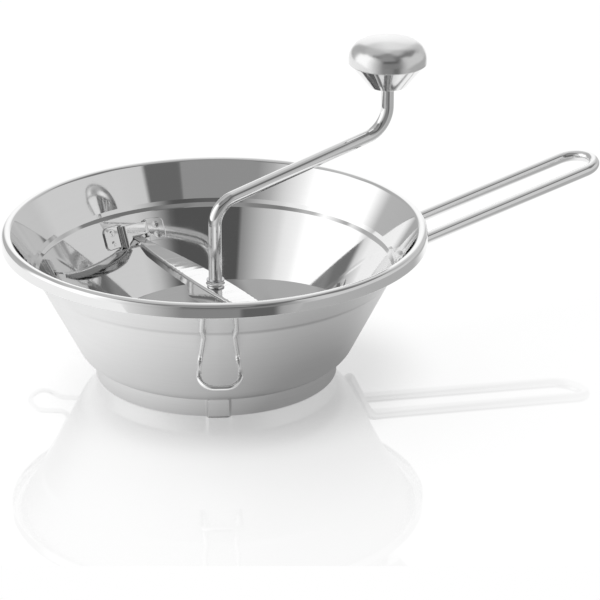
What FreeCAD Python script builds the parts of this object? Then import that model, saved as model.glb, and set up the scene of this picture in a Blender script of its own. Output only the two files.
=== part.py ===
import FreeCAD, Part

# Food mill with a hand crank, in millimetres.
# The bowl's axis is Z, the foot stands on Z = 0, and the crank arm points along +X.
# A crossbar hooks into two brackets on the bowl wall and guides the crank rod. A
# spring under the crossbar pushes the pressing blade down towards the sieve disc.

import math
import os
import Sketcher
from FreeCAD import Placement, Rotation, Vector

SIZES = [
    # name, value, what it is
    ("rim_radius", 126.0, "outer radius of the rolled rim's skirt"),
    ("rim_height", 91.2, "top of the rolled rim"),
    ("bead_radius", 3.2, "outer radius of the roll at the top of the rim"),
    ("skirt_depth", 8.2, "height of the skirt, roll included"),
    ("sheet", 1.0, "thickness of the bowl's sheet"),
    ("wall_across", 1.1, "the sloping wall's thickness, measured level"),
    ("upper_flare", 12.0, "how far the wall widens between the ledge and the roll"),
    ("ledge_height", 65.0, "height of the ledge"),
    ("ledge_step", 1.8, "how far the ledge widens the wall"),
    ("ledge_rise", 2.0, "height over which the ledge widens it"),
    ("lower_flare", 23.1, "how far the wall widens between the shoulder and the ledge"),
    ("shoulder_reach", 10.4, "how far the shoulder stands out from the foot ring"),
    ("shoulder_rise", 8.6, "height of the shoulder"),
    ("shoulder_round", 16.6, "radius of the shoulder's section"),
    ("foot_height", 10.7, "height of the foot ring"),
    ("pocket_depth", 2.3, "how far the foot's three pockets stand out"),
    ("pocket_width", 13.5, "outer width of a foot pocket"),
    ("pocket_rise", 1.4, "how far a foot pocket reaches above the foot ring"),
    ("pocket_count", 3, "foot pockets, evenly spaced, one at the front"),
    ("sieve_lip", 1.5, "how far the sieve disc overlaps the shoulder"),
    ("sieve_seat", 0.1353, "gap under the sieve disc's rim"),
    ("sieve_sheet", 1.0, "thickness of the sieve disc"),
    ("sieve_hole", 3.2, "diameter of a sieve hole"),
    ("sieve_first_ring", 14.0, "radius of the innermost ring of holes"),
    ("sieve_ring_step", 8.6, "radial distance between rings of holes"),
    ("tab_depth", 6.0, "how far the sieve's tabs reach down into the pockets"),
    ("tab_gap", 0.5, "gap outside a tab in its pocket"),
    ("tab_play", 1.5, "side play of a tab in its pocket"),
    ("bracket_drop", 3.6, "distance from the ledge down to the brackets"),
    ("bracket_height", 12.8, "height of a bracket"),
    ("bracket_width", 42.0, "width of a bracket across both welded flanges"),
    ("bracket_sheet", 1.2, "thickness of a bracket"),
    ("bracket_pocket", 19.0, "outer width of a bracket's raised middle"),
    ("bracket_depth", 4.4, "depth of the space behind the raised middle"),
    ("seat_gap", 0.05, "gap between a welded piece and the wall"),
    ("bar_azimuth", 120.0, "direction of the crossbar, in degrees from +X"),
    ("bar_lift", 5.6, "height of the crossbar's top above the brackets' lower edge"),
    ("bar_sheet", 1.2, "thickness of the crossbar's sheet"),
    ("bar_flange", 5.5, "depth of the crossbar, flanges included"),
    ("guard_depth", 11.5, "depth of the crossbar round the spring"),
    ("guard_reach", 18.0, "half length of the crossbar's deeper middle"),
    ("bar_tip_half_width", 3.6, "half width of the leaf shape at its ends"),
    ("tongue_clear", 0.7844, "gap between a tongue's end and the bracket"),
    ("tongue_length", 10.6, "length of a tongue"),
    ("tongue_half_width", 3.0, "half width of a tongue"),
    ("tongue_play", 0.5, "play above and below a tongue in its slot"),
    ("neck_wall", 0.84, "wall of the crossbar's drawn neck"),
    ("neck_rise", 2.0, "height of the drawn neck above the crossbar"),
    ("rod_radius", 4.0, "radius of the crank rod"),
    ("rod_play", 0.06, "radial clearance of the crank rod in the neck"),
    ("crank_azimuth", 27.1, "direction of the crank arm at rest, in degrees from +X"),
    ("crank_reach", 118.8, "distance from the bowl's axis to the knob's axis"),
    ("arm_clear", 12.2, "height of the arm's lower corner above the rim"),
    ("arm_rise", 13.5, "slope of the crank arm, in degrees"),
    ("post_height", 30.0, "height of the knob post above the arm's upper corner"),
    ("lower_bend_radius", 16.0, "centre line radius of the lower bend"),
    ("upper_bend_radius", 18.0, "centre line radius of the upper bend"),
    ("ring_height", 0.8, "thickness of the retaining ring and the knob clip"),
    ("ring_width", 1.3, "how far a retaining ring stands out from the rod"),
    ("groove_depth", 0.6, "depth of the grooves that hold the rings"),
    ("blade_gap", 0.3, "gap between the blade and the sieve disc"),
    ("blade_sheet", 1.0, "thickness of the pressing blade"),
    ("blade_headroom", 8.8, "distance from the crossbar down to the blade's leading end"),
    ("blade_hub_drop", 5.1, "distance from the hub's top down to the blade's inner edge"),
    ("blade_lead_azimuth", -65.0, "azimuth of the blade's leading end, in degrees"),
    ("blade_trail_azimuth", 175.0, "azimuth of the blade's scraping end"),
    ("blade_wall_gap", 1.6, "gap between the blade's rim and the bowl"),
    ("hub_wall", 2.5, "wall of the blade's hub"),
    ("pin_radius", 1.5, "radius of the pin through hub and rod"),
    ("pin_share", 0.42, "height of the pin in the hub, as a share of the hub's height"),
    ("spring_space", 15.0, "height between the hub and the crossbar's sheet"),
    ("washer_lip", 0.6, "how far the spring's two washers stand out past its coil"),
    ("washer_play", 0.4, "gap between the upper washer and the crossbar's flanges"),
    ("washer_sheet", 0.8, "thickness of a washer"),
    ("washer_gap", 0.1, "gap between parts stacked along the rod"),
    ("spring_wire", 0.9, "radius of the spring's wire"),
    ("spring_play", 1.5, "gap between the crank rod and the spring"),
    ("spring_turns", 4.5, "turns of the spring"),
    ("handle_azimuth", 30.0, "direction of the handle, in degrees from +X"),
    ("handle_rod", 3.5, "radius of the handle's rod"),
    ("handle_half_gap", 14.0, "half the distance between the rods' centre lines"),
    ("handle_length", 154.6, "how far the handle reaches past the rim"),
    ("handle_rise", 9.5, "slope of the handle, in degrees"),
    ("handle_drop", 14.1, "distance from the ledge down to the handle's corner"),
    ("handle_end_rise", 1.2, "height of the rod ends above the shoulder"),
    ("handle_bend", 10.0, "centre line radius of the bend at the wall"),
    ("hook_wire", 1.5, "radius of the hooks' wire"),
    ("hook_end_depth", 7.2, "distance from the rim's top down to the wire's ends"),
    ("hook_drop", 20.4, "distance from the ledge down to where a hook leaves the wall"),
    ("hook_inset", 6.0, "how far a hook's turn lies inside the rim's radius"),
    ("hook_rise", 3.7, "rise of the hook from the wall to its turn"),
    ("hook_droop", 24.3, "slope of the hook's nose, in degrees"),
    ("hook_half_width", 11.6, "half width of the hook's nose, centre line"),
    ("hook_top_half", 9.0, "half the distance between the wires at their ends"),
    ("hook_spread", 5.0, "height above the ledge at which the wires spread"),
    ("hook_spread_half", 9.7, "half the distance between the wires there"),
    ("hook_pinch_half", 8.6, "half the distance between the wires at the ledge"),
    ("hook_leave_half", 11.0, "half the distance between the wires where they leave the wall"),
    ("hook_bend", 4.0, "centre line radius of a hook's small bends"),
    ("hook_nose_bend", 9.0, "centre line radius of the nose's two corners"),
    ("knob_radius", 23.5, "largest radius of the knob"),
    ("knob_overlap", 3.5, "how far the knob reaches down past the rod's shoulder"),
    ("knob_waist", 17.1, "height of the knob's widest place above its underside"),
    ("dome_rise", 13.7, "height of the dome above its widest place"),
    ("dome_corner", 11.6, "radius of the dome's rounded edge"),
    ("dome_drop", 2.7, "how far the dome reaches below its widest place"),
    ("dome_wall", 1.2, "thickness of the dome and of the cone under it"),
    ("cone_inset", 0.8, "how far the cone's top lies inside the dome's edge"),
    ("cone_bottom_radius", 11.0, "radius of the knob's cone at its bottom"),
    ("spigot_step", 1.0, "how much thinner the rod's turned end is, in radius"),
    ("spigot_play", 0.06, "radial clearance of the knob's sleeve"),
    ("sleeve_wall", 2.0, "how far the knob's sleeve stands out past the rod"),
    ("sleeve_rise", 2.1, "height of the sleeve's end above the knob's widest place"),
    ("core_height", 1.6, "thickness of the sleeve's disc"),
]

SIEVE_RINGS = 7
HOLES_PER_STEP = 6
TINY = 1e-6
BLADE_STEPS = 24


class Size:
    """A number together with the sheet expression that it comes from."""

    def __init__(self, value, text=None):
        self.value = float(value)
        self.text = text or repr(self.value)

    def joined(self, other, sign, value):
        return Size(value, f"({self.text} {sign} {as_size(other).text})")

    def __add__(self, other):
        return self.joined(other, "+", self.value + as_size(other).value)

    def __sub__(self, other):
        return self.joined(other, "-", self.value - as_size(other).value)

    def __mul__(self, other):
        return self.joined(other, "*", self.value * as_size(other).value)

    def __truediv__(self, other):
        return self.joined(other, "/", self.value / as_size(other).value)

    def __neg__(self):
        return Size(-self.value, f"(0 - {self.text})")

    def __float__(self):
        return self.value


def as_size(number):
    return number if isinstance(number, Size) else Size(number)


def root(size):
    return Size(math.sqrt(size.value), f"sqrt({size.text})")


def tangent(size):
    """Tangent of an angle in degrees."""
    return Size(math.tan(math.radians(size.value)), f"tan({size.text})")


def cosine(size):
    return Size(math.cos(math.radians(size.value)), f"cos({size.text})")


def sine(size):
    return Size(math.sin(math.radians(size.value)), f"sin({size.text})")


class Sizes:
    """The sheet's cells as attributes, each one a Size."""


def fill_sheet(doc):
    sheet = doc.addObject("Spreadsheet::Sheet", "Sizes")
    sizes = Sizes()
    for row, (name, value, note) in enumerate(SIZES, start=1):
        sheet.set(f"A{row}", name)
        sheet.set(f"B{row}", str(value))
        sheet.set(f"C{row}", note)
        sheet.setAlias(f"B{row}", name)
        setattr(sizes, name, Size(value, f"Sizes.{name}"))
    doc.recompute()
    return sizes


doc = FreeCAD.newDocument("food_mill")
s = fill_sheet(doc)


def bind(thing, **properties):
    """Tie properties of an object to the sheet."""
    for name, size in properties.items():
        thing.setExpression(name, as_size(size).text)
    return thing


# ---- primitives and booleans ----

def cylinder(name, radius, bottom, height, azimuth=0.0, sector=360.0):
    """A cylinder about Z, or a sector of one that starts at the azimuth."""
    made = bind(doc.addObject("Part::Cylinder", name), Radius=radius, Height=height)
    made.Angle = sector
    made.Placement = Placement(Vector(0, 0, float(bottom)), Rotation(Vector(0, 0, 1), azimuth))
    made.setExpression("Placement.Base.z", as_size(bottom).text)
    return made


def box(name, x, y, z):
    """A box from three (start, end) pairs."""
    made = doc.addObject("Part::Box", name)
    ends = [[as_size(end) for end in pair] for pair in (x, y, z)]
    lengths = [pair[1] - pair[0] for pair in ends]
    bind(made, Length=lengths[0], Width=lengths[1], Height=lengths[2])
    for axis, pair in zip("xyz", ends):
        made.setExpression(f"Placement.Base.{axis}", pair[0].text)
    return made


def cut(name, base, tool):
    made = doc.addObject("Part::Cut", name)
    made.Base = base
    made.Tool = tool
    return made


def joined(name, *pieces):
    made = doc.addObject("Part::MultiFuse", name)
    made.Shapes = list(pieces)
    return made


def common(name, *pieces):
    made = doc.addObject("Part::MultiCommon", name)
    made.Shapes = list(pieces)
    return made


def ring(name, outer, inner, bottom, height):
    """A washer, tube or groove about Z."""
    solid = cylinder(name + "_solid", outer, bottom, height)
    bore = cylinder(name + "_bore", inner, bottom, height)
    return cut(name, solid, bore)


def turned(thing, azimuth):
    """Turn a finished piece about Z."""
    thing.Placement = Placement(Vector(), Rotation(Vector(0, 0, 1), azimuth))
    return thing


def over_knob(thing):
    """Move a finished piece from the bowl's axis to the knob's."""
    thing.setExpression("Placement.Base.x", s.knob_x.text)
    thing.setExpression("Placement.Base.y", s.knob_y.text)
    return thing


# ---- sketches ----

def plane_sketch(body, role, name, lift=None):
    """A sketch on one of the body's own origin planes."""
    sketch = body.newObject("Sketcher::SketchObject", name)
    plane = [item for item in body.Origin.OriginFeatures if item.Role == role][0]
    sketch.AttachmentSupport = [(plane, "")]
    sketch.MapMode = "FlatFace"
    if lift is not None:
        sketch.setExpression("AttachmentOffset.Base.z", lift.text)
    return sketch


def hold_point(sketch, edge, end, x, y):
    """Fix one end of an edge at a place that follows the sheet."""
    for kind, size in (("DistanceX", x), ("DistanceY", y)):
        size = as_size(size)
        number = sketch.addConstraint(Sketcher.Constraint(kind, -1, 1, edge, end, size.value))
        sketch.setExpression(f"Constraints[{number}]", size.text)


def outline(sketch, corners):
    """Draw a closed outline.

    Each corner is (x, y, bend). The bend is the radius of the arc that leads to the
    next corner, positive where its centre is on the left of the way, or None for a
    straight line.
    """
    points = [Vector(float(x), float(y), 0) for x, y, bend in corners]
    for index, (x, y, bend) in enumerate(corners):
        start = points[index]
        end = points[(index + 1) % len(points)]
        if bend is None:
            edge = sketch.addGeometry(Part.LineSegment(start, end))
            hold_point(sketch, edge, 1, x, y)
            ends_at_start = False
        else:
            arc = bulging_arc(start, end, float(bend))
            edge = sketch.addGeometry(arc)
            ends_at_start = float(bend) < 0
            hold_point(sketch, edge, 2 if ends_at_start else 1, x, y)
            radius = -bend if ends_at_start else bend
            number = sketch.addConstraint(Sketcher.Constraint("Radius", edge, radius.value))
            sketch.setExpression(f"Constraints[{number}]", radius.text)
        last = 1 if ends_at_start else 2
        first = 2 if ends_at_start else 1
        if index == 0:
            first_edge, first_end = edge, first
        else:
            sketch.addConstraint(Sketcher.Constraint("Coincident", last_edge, last_end, edge, first))
        last_edge, last_end = edge, last
    sketch.addConstraint(Sketcher.Constraint("Coincident", last_edge, last_end, first_edge, first_end))


def bulging_arc(start, end, bend):
    """The shorter arc of radius |bend| from start to end, its centre left if bend > 0."""
    chord = end - start
    middle = (start + end) * 0.5
    left = Vector(-chord.y, chord.x, 0).normalize()
    offset = math.sqrt(bend * bend - chord.Length * chord.Length / 4)
    side = 1 if bend > 0 else -1
    centre = middle + left * (side * offset)
    top = centre + (middle - centre).normalize() * abs(bend)
    return Part.Arc(start, top, end) if bend > 0 else Part.Arc(end, top, start)


def revolved(name, corners):
    """A body turned about Z from an outline of (radius, height, bend) corners."""
    body = doc.addObject("PartDesign::Body", name)
    sketch = plane_sketch(body, "XZ_Plane", name + "_outline")
    outline(sketch, corners)
    turned = body.newObject("PartDesign::Revolution", name + "_turned")
    turned.Profile = sketch
    turned.ReferenceAxis = (sketch, ["V_Axis"])
    turned.Angle = 360
    return body


def feature(body, kind, name, sketch, length, reverse=False):
    """A pad or pocket of the given length."""
    made = body.newObject("PartDesign::" + kind, name)
    made.Profile = sketch
    made.Reversed = reverse
    made.setExpression("Length", as_size(length).text)
    return made


def patterned(body, name, original, count):
    """Repeat a feature all round Z."""
    pattern = body.newObject("PartDesign::PolarPattern", name)
    pattern.Originals = [original]
    axis = [item for item in body.Origin.OriginFeatures if item.Role == "Z_Axis"][0]
    pattern.Axis = (axis, [""])
    pattern.Angle = 360
    pattern.Occurrences = count
    body.Tip = pattern
    return pattern


# ---- bent rods ----

def rounded_path(corners, radii):
    """Straight runs joined by tangent arcs."""
    edges = []
    start = corners[0]
    for index, radius in enumerate(radii, start=1):
        corner = corners[index]
        back = (corners[index - 1] - corner).normalize()
        ahead = (corners[index + 1] - corner).normalize()
        half = back.getAngle(ahead) / 2
        reach = radius / math.tan(half)
        arc_start = corner + back * reach
        arc_end = corner + ahead * reach
        towards = (back + ahead).normalize()
        middle = corner + towards * (radius / math.sin(half) - radius)
        if (arc_start - start).Length > TINY:
            edges.append(Part.LineSegment(start, arc_start).toShape())
        edges.append(Part.Arc(arc_start, middle, arc_end).toShape())
        start = arc_end
    edges.append(Part.LineSegment(start, corners[-1]).toShape())
    return Part.Wire(edges)


def bent_rod(corners, radii, rod_radius):
    """A round rod along a path whose bends lie in different planes."""
    path = rounded_path(corners, radii)
    circle = Part.makeCircle(float(rod_radius), corners[0], corners[1] - corners[0])
    return path.makePipeShell([Part.Wire([circle])], True, False)


def shaped(name, shape):
    made = doc.addObject("Part::Feature", name)
    made.Shape = shape
    return made


# ---- the bowl's wall, which other pieces follow ----

s.skirt_bottom = s.rim_height - s.skirt_depth
s.upper_foot = s.rim_radius - s.bead_radius * 2 - s.upper_flare
s.ledge_radius = s.upper_foot - s.ledge_step
s.ledge_top = s.ledge_height + s.ledge_rise
s.shoulder_radius = s.ledge_radius - s.lower_flare
s.shoulder_height = s.foot_height + s.shoulder_rise
s.foot_radius = s.shoulder_radius - s.shoulder_reach
s.foot_inside = s.foot_radius - s.sheet
cone_slope = s.lower_flare / (s.ledge_height - s.shoulder_height)
upper_slope = (s.upper_flare + s.sheet) / (s.rim_height - s.bead_radius - s.ledge_top)
WALL_LEAN = math.atan(cone_slope.value)
UPPER_LEAN = math.atan(upper_slope.value)


def outer_radius(height):
    """Outer radius of the bowl's lower cone."""
    return s.shoulder_radius + (as_size(height) - s.shoulder_height) * cone_slope


def inner_radius(height):
    """Inner radius of the bowl's lower cone."""
    return outer_radius(height) - s.wall_across


def upper_radius(height):
    """Outer radius of the bowl between the ledge and the rim's roll."""
    return s.upper_foot + (as_size(height) - s.ledge_top) * upper_slope


def arc_centre(start, end, radius):
    """Centre of the shorter arc between two (x, y) points, on the left of the way."""
    across = end[0] - start[0]
    along = end[1] - start[1]
    squared = across * across + along * along
    chord = root(squared)
    offset = root(radius * radius - squared / 4)
    return (
        (start[0] + end[0]) / 2 - along / chord * offset,
        (start[1] + end[1]) / 2 + across / chord * offset,
    )


shoulder_inside = s.shoulder_round - s.sheet
shoulder_middle, shoulder_centre = arc_centre(
    (s.foot_inside, s.foot_height + s.sheet),
    (inner_radius(s.shoulder_height), s.shoulder_height),
    shoulder_inside,
)


def free_radius(height):
    """Inner radius of the bowl at any height up to the ledge, as a number."""
    if height >= s.shoulder_height.value:
        return inner_radius(height).value
    drop = shoulder_centre.value - height
    return shoulder_middle.value + math.sqrt(shoulder_inside.value ** 2 - drop ** 2)


# ---- heights and radii that follow from the bowl ----

s.sieve_radius = s.foot_radius + s.sieve_lip
sieve_offset = s.sieve_radius - shoulder_middle
s.sieve_bottom = (
    shoulder_centre - root(shoulder_inside * shoulder_inside - sieve_offset * sieve_offset) + s.sieve_seat
)
s.low_end = s.sieve_bottom + s.sieve_sheet + s.blade_gap
s.bracket_top = s.ledge_height - s.bracket_drop
s.bracket_bottom = s.bracket_top - s.bracket_height
s.bar_top = s.bracket_bottom + s.bar_lift
s.bar_under = s.bar_top - s.bar_sheet
s.tongue_reach = inner_radius(s.bar_under) - s.seat_gap - s.bracket_sheet - s.tongue_clear
s.bar_reach = s.tongue_reach - s.tongue_length
s.spring_radius = s.rod_radius + s.spring_play + s.spring_wire
s.washer_radius = s.spring_radius + s.spring_wire + s.washer_lip
s.bar_half_width = s.washer_radius + s.washer_play + s.bar_sheet
s.neck_radius = s.rod_radius + s.rod_play + s.neck_wall
s.hub_radius = s.rod_radius + s.hub_wall
s.hub_top = s.bar_under - s.spring_space
s.pin_height = s.low_end + (s.hub_top - s.low_end) * s.pin_share
s.blade_high = s.bar_top - s.bar_flange - s.blade_headroom
s.blade_high_inner = s.hub_top - s.blade_hub_drop
s.lower_bend_height = s.rim_height + s.arm_clear
s.upper_bend_height = s.lower_bend_height + s.crank_reach * tangent(s.arm_rise)
s.knob_x = s.crank_reach * cosine(s.crank_azimuth)
s.knob_y = s.crank_reach * sine(s.crank_azimuth)
s.spigot_start = s.upper_bend_height + s.post_height
s.spigot_radius = s.rod_radius - s.spigot_step
s.knob_bottom = s.spigot_start - s.knob_overlap
s.knob_widest = s.knob_bottom + s.knob_waist
s.cone_top_radius = s.knob_radius - s.cone_inset
s.sleeve_radius = s.rod_radius + s.sleeve_wall
s.sleeve_top = s.knob_widest + s.sleeve_rise
s.ring_bottom = s.bar_top + s.neck_rise + s.washer_gap
s.clip_bottom = s.sleeve_top + s.washer_gap
s.handle_wall_height = s.ledge_height - s.handle_drop
s.handle_end_height = s.shoulder_height + s.handle_end_rise
s.handle_reach = s.rim_radius + s.handle_length
s.hook_top = s.rim_height - s.hook_end_depth
s.hook_leave = s.ledge_height - s.hook_drop
s.hook_reach = s.rim_radius - s.hook_inset
s.hook_level = s.hook_leave + s.hook_rise


def bowl():
    """The bowl with its rolled rim, ledge, shoulder, foot ring and three foot pockets."""
    bead_middle = s.rim_radius - s.bead_radius
    bead_height = s.rim_height - s.bead_radius
    bead_inside = s.bead_radius - s.sheet
    shell = revolved("bowl_shell", [
        (s.foot_inside, 0, None),
        (s.foot_radius, 0, None),
        (s.foot_radius, s.foot_height, s.shoulder_round),
        (s.shoulder_radius, s.shoulder_height, None),
        (s.ledge_radius, s.ledge_height, None),
        (s.upper_foot, s.ledge_top, None),
        (bead_middle - bead_inside, bead_height, -bead_inside * 1.001),
        (bead_middle + bead_inside, bead_height, None),
        (s.rim_radius - s.sheet, s.skirt_bottom, None),
        (s.rim_radius, s.skirt_bottom, None),
        (s.rim_radius, bead_height, s.bead_radius * 1.001),
        (bead_middle - s.bead_radius, bead_height, None),
        (s.upper_foot - s.wall_across, s.ledge_top, None),
        (s.ledge_radius - s.wall_across, s.ledge_height, None),
        (inner_radius(s.shoulder_height), s.shoulder_height, -shoulder_inside),
        (s.foot_inside, s.foot_height + s.sheet, None),
    ])
    pocket_outer = s.foot_radius + s.pocket_depth
    pocket_sector = math.degrees(s.pocket_width.value / pocket_outer.value)
    channel_sector = math.degrees((s.pocket_width - s.sheet * 2).value / pocket_outer.value)
    pocket_top = s.foot_height + s.pocket_rise
    walls = []
    channels = []
    for index in range(int(float(s.pocket_count))):
        azimuth = -90 + index * 360 / int(float(s.pocket_count))
        walls.append(cut(
            f"pocket_wall_{index}",
            cylinder(f"pocket_block_{index}", pocket_outer, 0, pocket_top,
                     azimuth - pocket_sector / 2, pocket_sector),
            cylinder(f"pocket_core_{index}", s.foot_radius - s.sheet / 2, 0, pocket_top),
        ))
        channels.append(cylinder(
            f"pocket_channel_{index}", pocket_outer - s.sheet, 0, pocket_top + s.sheet,
            azimuth - channel_sector / 2, channel_sector,
        ))
    return cut("bowl", joined("bowl_with_pockets", shell, *walls), joined("channels", *channels))


def sieve_disc():
    """The perforated disc on the bowl's shoulder, its tabs down in the foot pockets."""
    body = doc.addObject("PartDesign::Body", "sieve_disc")
    rim = plane_sketch(body, "XY_Plane", "sieve_rim", s.sieve_bottom)
    edge = rim.addGeometry(Part.Circle(Vector(), Vector(0, 0, 1), s.sieve_radius.value))
    rim.addConstraint(Sketcher.Constraint("Coincident", edge, 3, -1, 1))
    radius = rim.addConstraint(Sketcher.Constraint("Radius", edge, s.sieve_radius.value))
    rim.setExpression(f"Constraints[{radius}]", s.sieve_radius.text)
    feature(body, "Pad", "sieve_plate", rim, s.sieve_sheet)
    tab_outer = s.foot_radius + s.pocket_depth - s.sheet - s.tab_gap
    tab = plane_sketch(body, "XY_Plane", "tab_outline", s.sieve_bottom)
    half = (s.pocket_width - s.sheet * 2 - s.tab_play) / 2
    outline(tab, [
        (-half, -tab_outer, None),
        (half, -tab_outer, None),
        (half, s.sieve_sheet - tab_outer, None),
        (-half, s.sieve_sheet - tab_outer, None),
    ])
    tab_pad = feature(body, "Pad", "tab", tab, s.tab_depth, reverse=True)
    patterned(body, "tabs", tab_pad, int(float(s.pocket_count)))
    for index in range(SIEVE_RINGS):
        place = s.sieve_first_ring + s.sieve_ring_step * index
        if place.value > s.sieve_radius.value - s.sieve_hole.value * 2:
            break
        hole = plane_sketch(body, "XY_Plane", f"hole_{index}", s.sieve_bottom)
        edge = hole.addGeometry(
            Part.Circle(Vector(place.value, 0, 0), Vector(0, 0, 1), s.sieve_hole.value / 2))
        hold_point(hole, edge, 3, place, 0)
        size = hole.addConstraint(Sketcher.Constraint("Radius", edge, s.sieve_hole.value / 2))
        hole.setExpression(f"Constraints[{size}]", (s.sieve_hole / 2).text)
        pocket = feature(body, "Pocket", f"hole_cut_{index}", hole, s.sieve_sheet, reverse=True)
        patterned(body, f"holes_{index}", pocket, 2 + HOLES_PER_STEP * (index + 1))
    return body


def bracket(name, azimuth):
    """A strap welded to the wall, with a slot that one of the crossbar's tongues turns into."""
    height = s.bracket_top - s.bracket_bottom

    def cone(tag, inset):
        made = bind(
            doc.addObject("Part::Cone", f"{name}_{tag}"),
            Radius1=inner_radius(s.bracket_bottom) - inset,
            Radius2=inner_radius(s.bracket_top) - inset,
            Height=height,
        )
        made.setExpression("Placement.Base.z", s.bracket_bottom.text)
        return made

    def slab(tag, half_width):
        reach = (inner_radius(s.bracket_bottom) / 2, inner_radius(s.bracket_top))
        return box(f"{name}_{tag}", reach, (-half_width, half_width), (s.bracket_bottom, s.bracket_top))

    back = s.seat_gap
    half = s.bracket_pocket / 2
    flanges = common(
        f"{name}_flanges",
        cut(f"{name}_strap", cone("wall", back), cone("front", back + s.bracket_sheet)),
        slab("flange_slab", s.bracket_width / 2),
    )
    raised_front = back + s.bracket_depth + s.bracket_sheet
    raised = common(
        f"{name}_raised",
        cut(f"{name}_block", cone("raised_wall", back), cone("raised_front", raised_front)),
        slab("raised_slab", half),
    )
    hollow = common(
        f"{name}_hollow",
        cut(f"{name}_space", cone("hollow_wall", 0), cone("hollow_front", back + s.bracket_depth)),
        slab("hollow_slab", half - s.bracket_sheet),
    )
    strap = cut(f"{name}_body", joined(f"{name}_joined", flanges, raised), hollow)
    slot = box(
        f"{name}_slot",
        (inner_radius(s.bracket_bottom) / 2, s.tongue_reach + s.tongue_play),
        (-half - s.bracket_sheet, s.tongue_half_width + s.tongue_play),
        (s.bar_under - s.tongue_play, s.bar_top + s.tongue_play),
    )
    return turned(cut(name, strap, slot), azimuth)


def leaf_bend(half_length, half_width, tip_half_width):
    """Radius of the long arcs of a leaf shape."""
    bulge = half_width - tip_half_width
    return (half_length * half_length + bulge * bulge) / (bulge * 2)


def leaf(half_length, half_width, tip_half_width):
    """An outline with two long arcs for sides."""
    bend = leaf_bend(half_length, half_width, tip_half_width)
    return [
        (-half_length, -tip_half_width, bend),
        (half_length, -tip_half_width, None),
        (half_length, tip_half_width, bend),
        (-half_length, tip_half_width, None),
    ]


def crossbar():
    """The leaf-shaped bar: a channel open below, two tongues and a drawn neck.

    Its flanges are deeper in the middle, where they guard the spring.
    """
    body = doc.addObject("PartDesign::Body", "crossbar")
    bottom = s.bar_top - s.guard_depth
    bend = leaf_bend(s.bar_reach, s.bar_half_width, s.bar_tip_half_width)
    guard_end = s.bar_half_width - bend + root(bend * bend - s.guard_reach * s.guard_reach)
    outer = plane_sketch(body, "XY_Plane", "bar_outline", s.bar_top - s.bar_flange)
    outline(outer, leaf(s.bar_reach, s.bar_half_width, s.bar_tip_half_width))
    feature(body, "Pad", "bar_solid", outer, s.bar_flange)
    guard = plane_sketch(body, "XY_Plane", "guard_outline", bottom)
    outline(guard, leaf(s.guard_reach, s.bar_half_width, guard_end))
    feature(body, "Pad", "guard_solid", guard, s.guard_depth)
    inner = plane_sketch(body, "XY_Plane", "bar_inside", bottom)
    outline(inner, leaf(
        s.bar_reach + s.bar_sheet,
        s.bar_half_width - s.bar_sheet,
        s.bar_tip_half_width - s.bar_sheet,
    ))
    feature(body, "Pocket", "bar_channel", inner, s.guard_depth - s.bar_sheet, reverse=True)
    tongues = plane_sketch(body, "XY_Plane", "tongue_outline", s.bar_under)
    outline(tongues, [
        (-s.tongue_reach, -s.tongue_half_width, None),
        (s.tongue_reach, -s.tongue_half_width, None),
        (s.tongue_reach, s.tongue_half_width, None),
        (-s.tongue_reach, s.tongue_half_width, None),
    ])
    feature(body, "Pad", "tongues", tongues, s.bar_sheet)
    for name, kind, radius, lift, length in (
        ("neck", "Pad", s.neck_radius, s.bar_under, s.neck_rise + s.bar_sheet),
        ("neck_bore", "Pocket", s.rod_radius + s.rod_play, bottom, s.guard_depth + s.neck_rise),
    ):
        round_sketch = plane_sketch(body, "XY_Plane", name + "_outline", lift)
        edge = round_sketch.addGeometry(Part.Circle(Vector(), Vector(0, 0, 1), radius.value))
        round_sketch.addConstraint(Sketcher.Constraint("Coincident", edge, 3, -1, 1))
        held = round_sketch.addConstraint(Sketcher.Constraint("Radius", edge, radius.value))
        round_sketch.setExpression(f"Constraints[{held}]", radius.text)
        feature(body, kind, name, round_sketch, length, reverse=(kind == "Pocket"))
    return turned(body, s.bar_azimuth.value)


def press_blade():
    """The sheet that winds down from its leading end to the sieve and pushes food through."""
    low = (s.low_end + s.blade_sheet).value
    rise = s.blade_high.value - low
    inner_rise = s.blade_high_inner.value - low
    inner_edge = s.hub_radius.value + s.washer_gap.value
    lead = s.blade_lead_azimuth.value
    sweep = s.blade_trail_azimuth.value - lead
    shares = [step / BLADE_STEPS for step in range(BLADE_STEPS + 1)]
    inner_points = []
    rim_points = []
    for share in shares:
        azimuth = math.radians(lead + sweep * share)
        along = Vector(math.cos(azimuth), math.sin(azimuth), 0)
        rim = low + rise * (1 - share)
        rim_radius = free_radius(rim - s.blade_sheet.value) - s.blade_wall_gap.value
        inner_points.append(along * inner_edge + Vector(0, 0, low + inner_rise * (1 - share)))
        rim_points.append(along * rim_radius + Vector(0, 0, rim))
    curves = []
    for points in (inner_points, rim_points):
        curve = Part.BSplineCurve()
        curve.interpolate(Points=points, Parameters=shares)
        curves.append(curve)
    rim_curve = curves[1]
    surface = Part.BSplineSurface()
    surface.buildFromPolesMultsKnots(
        [curve.getPoles() for curve in curves],
        [2, 2], rim_curve.getMultiplicities(),
        [0.0, 1.0], rim_curve.getKnots(),
        False, False, 1, rim_curve.Degree,
    )
    sheet = surface.toShape().extrude(Vector(0, 0, -s.blade_sheet.value))
    return shaped("press_blade", sheet)


def pin_hole(name, half_length):
    """The cross pin, or the hole for it."""
    made = bind(doc.addObject("Part::Cylinder", name), Radius=s.pin_radius, Height=half_length * 2)
    made.Placement = Placement(Vector(), Rotation(Vector(0, 1, 0), 90))
    made.setExpression("Placement.Base.x", (-half_length).text)
    made.setExpression("Placement.Base.z", s.pin_height.text)
    return made


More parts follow.
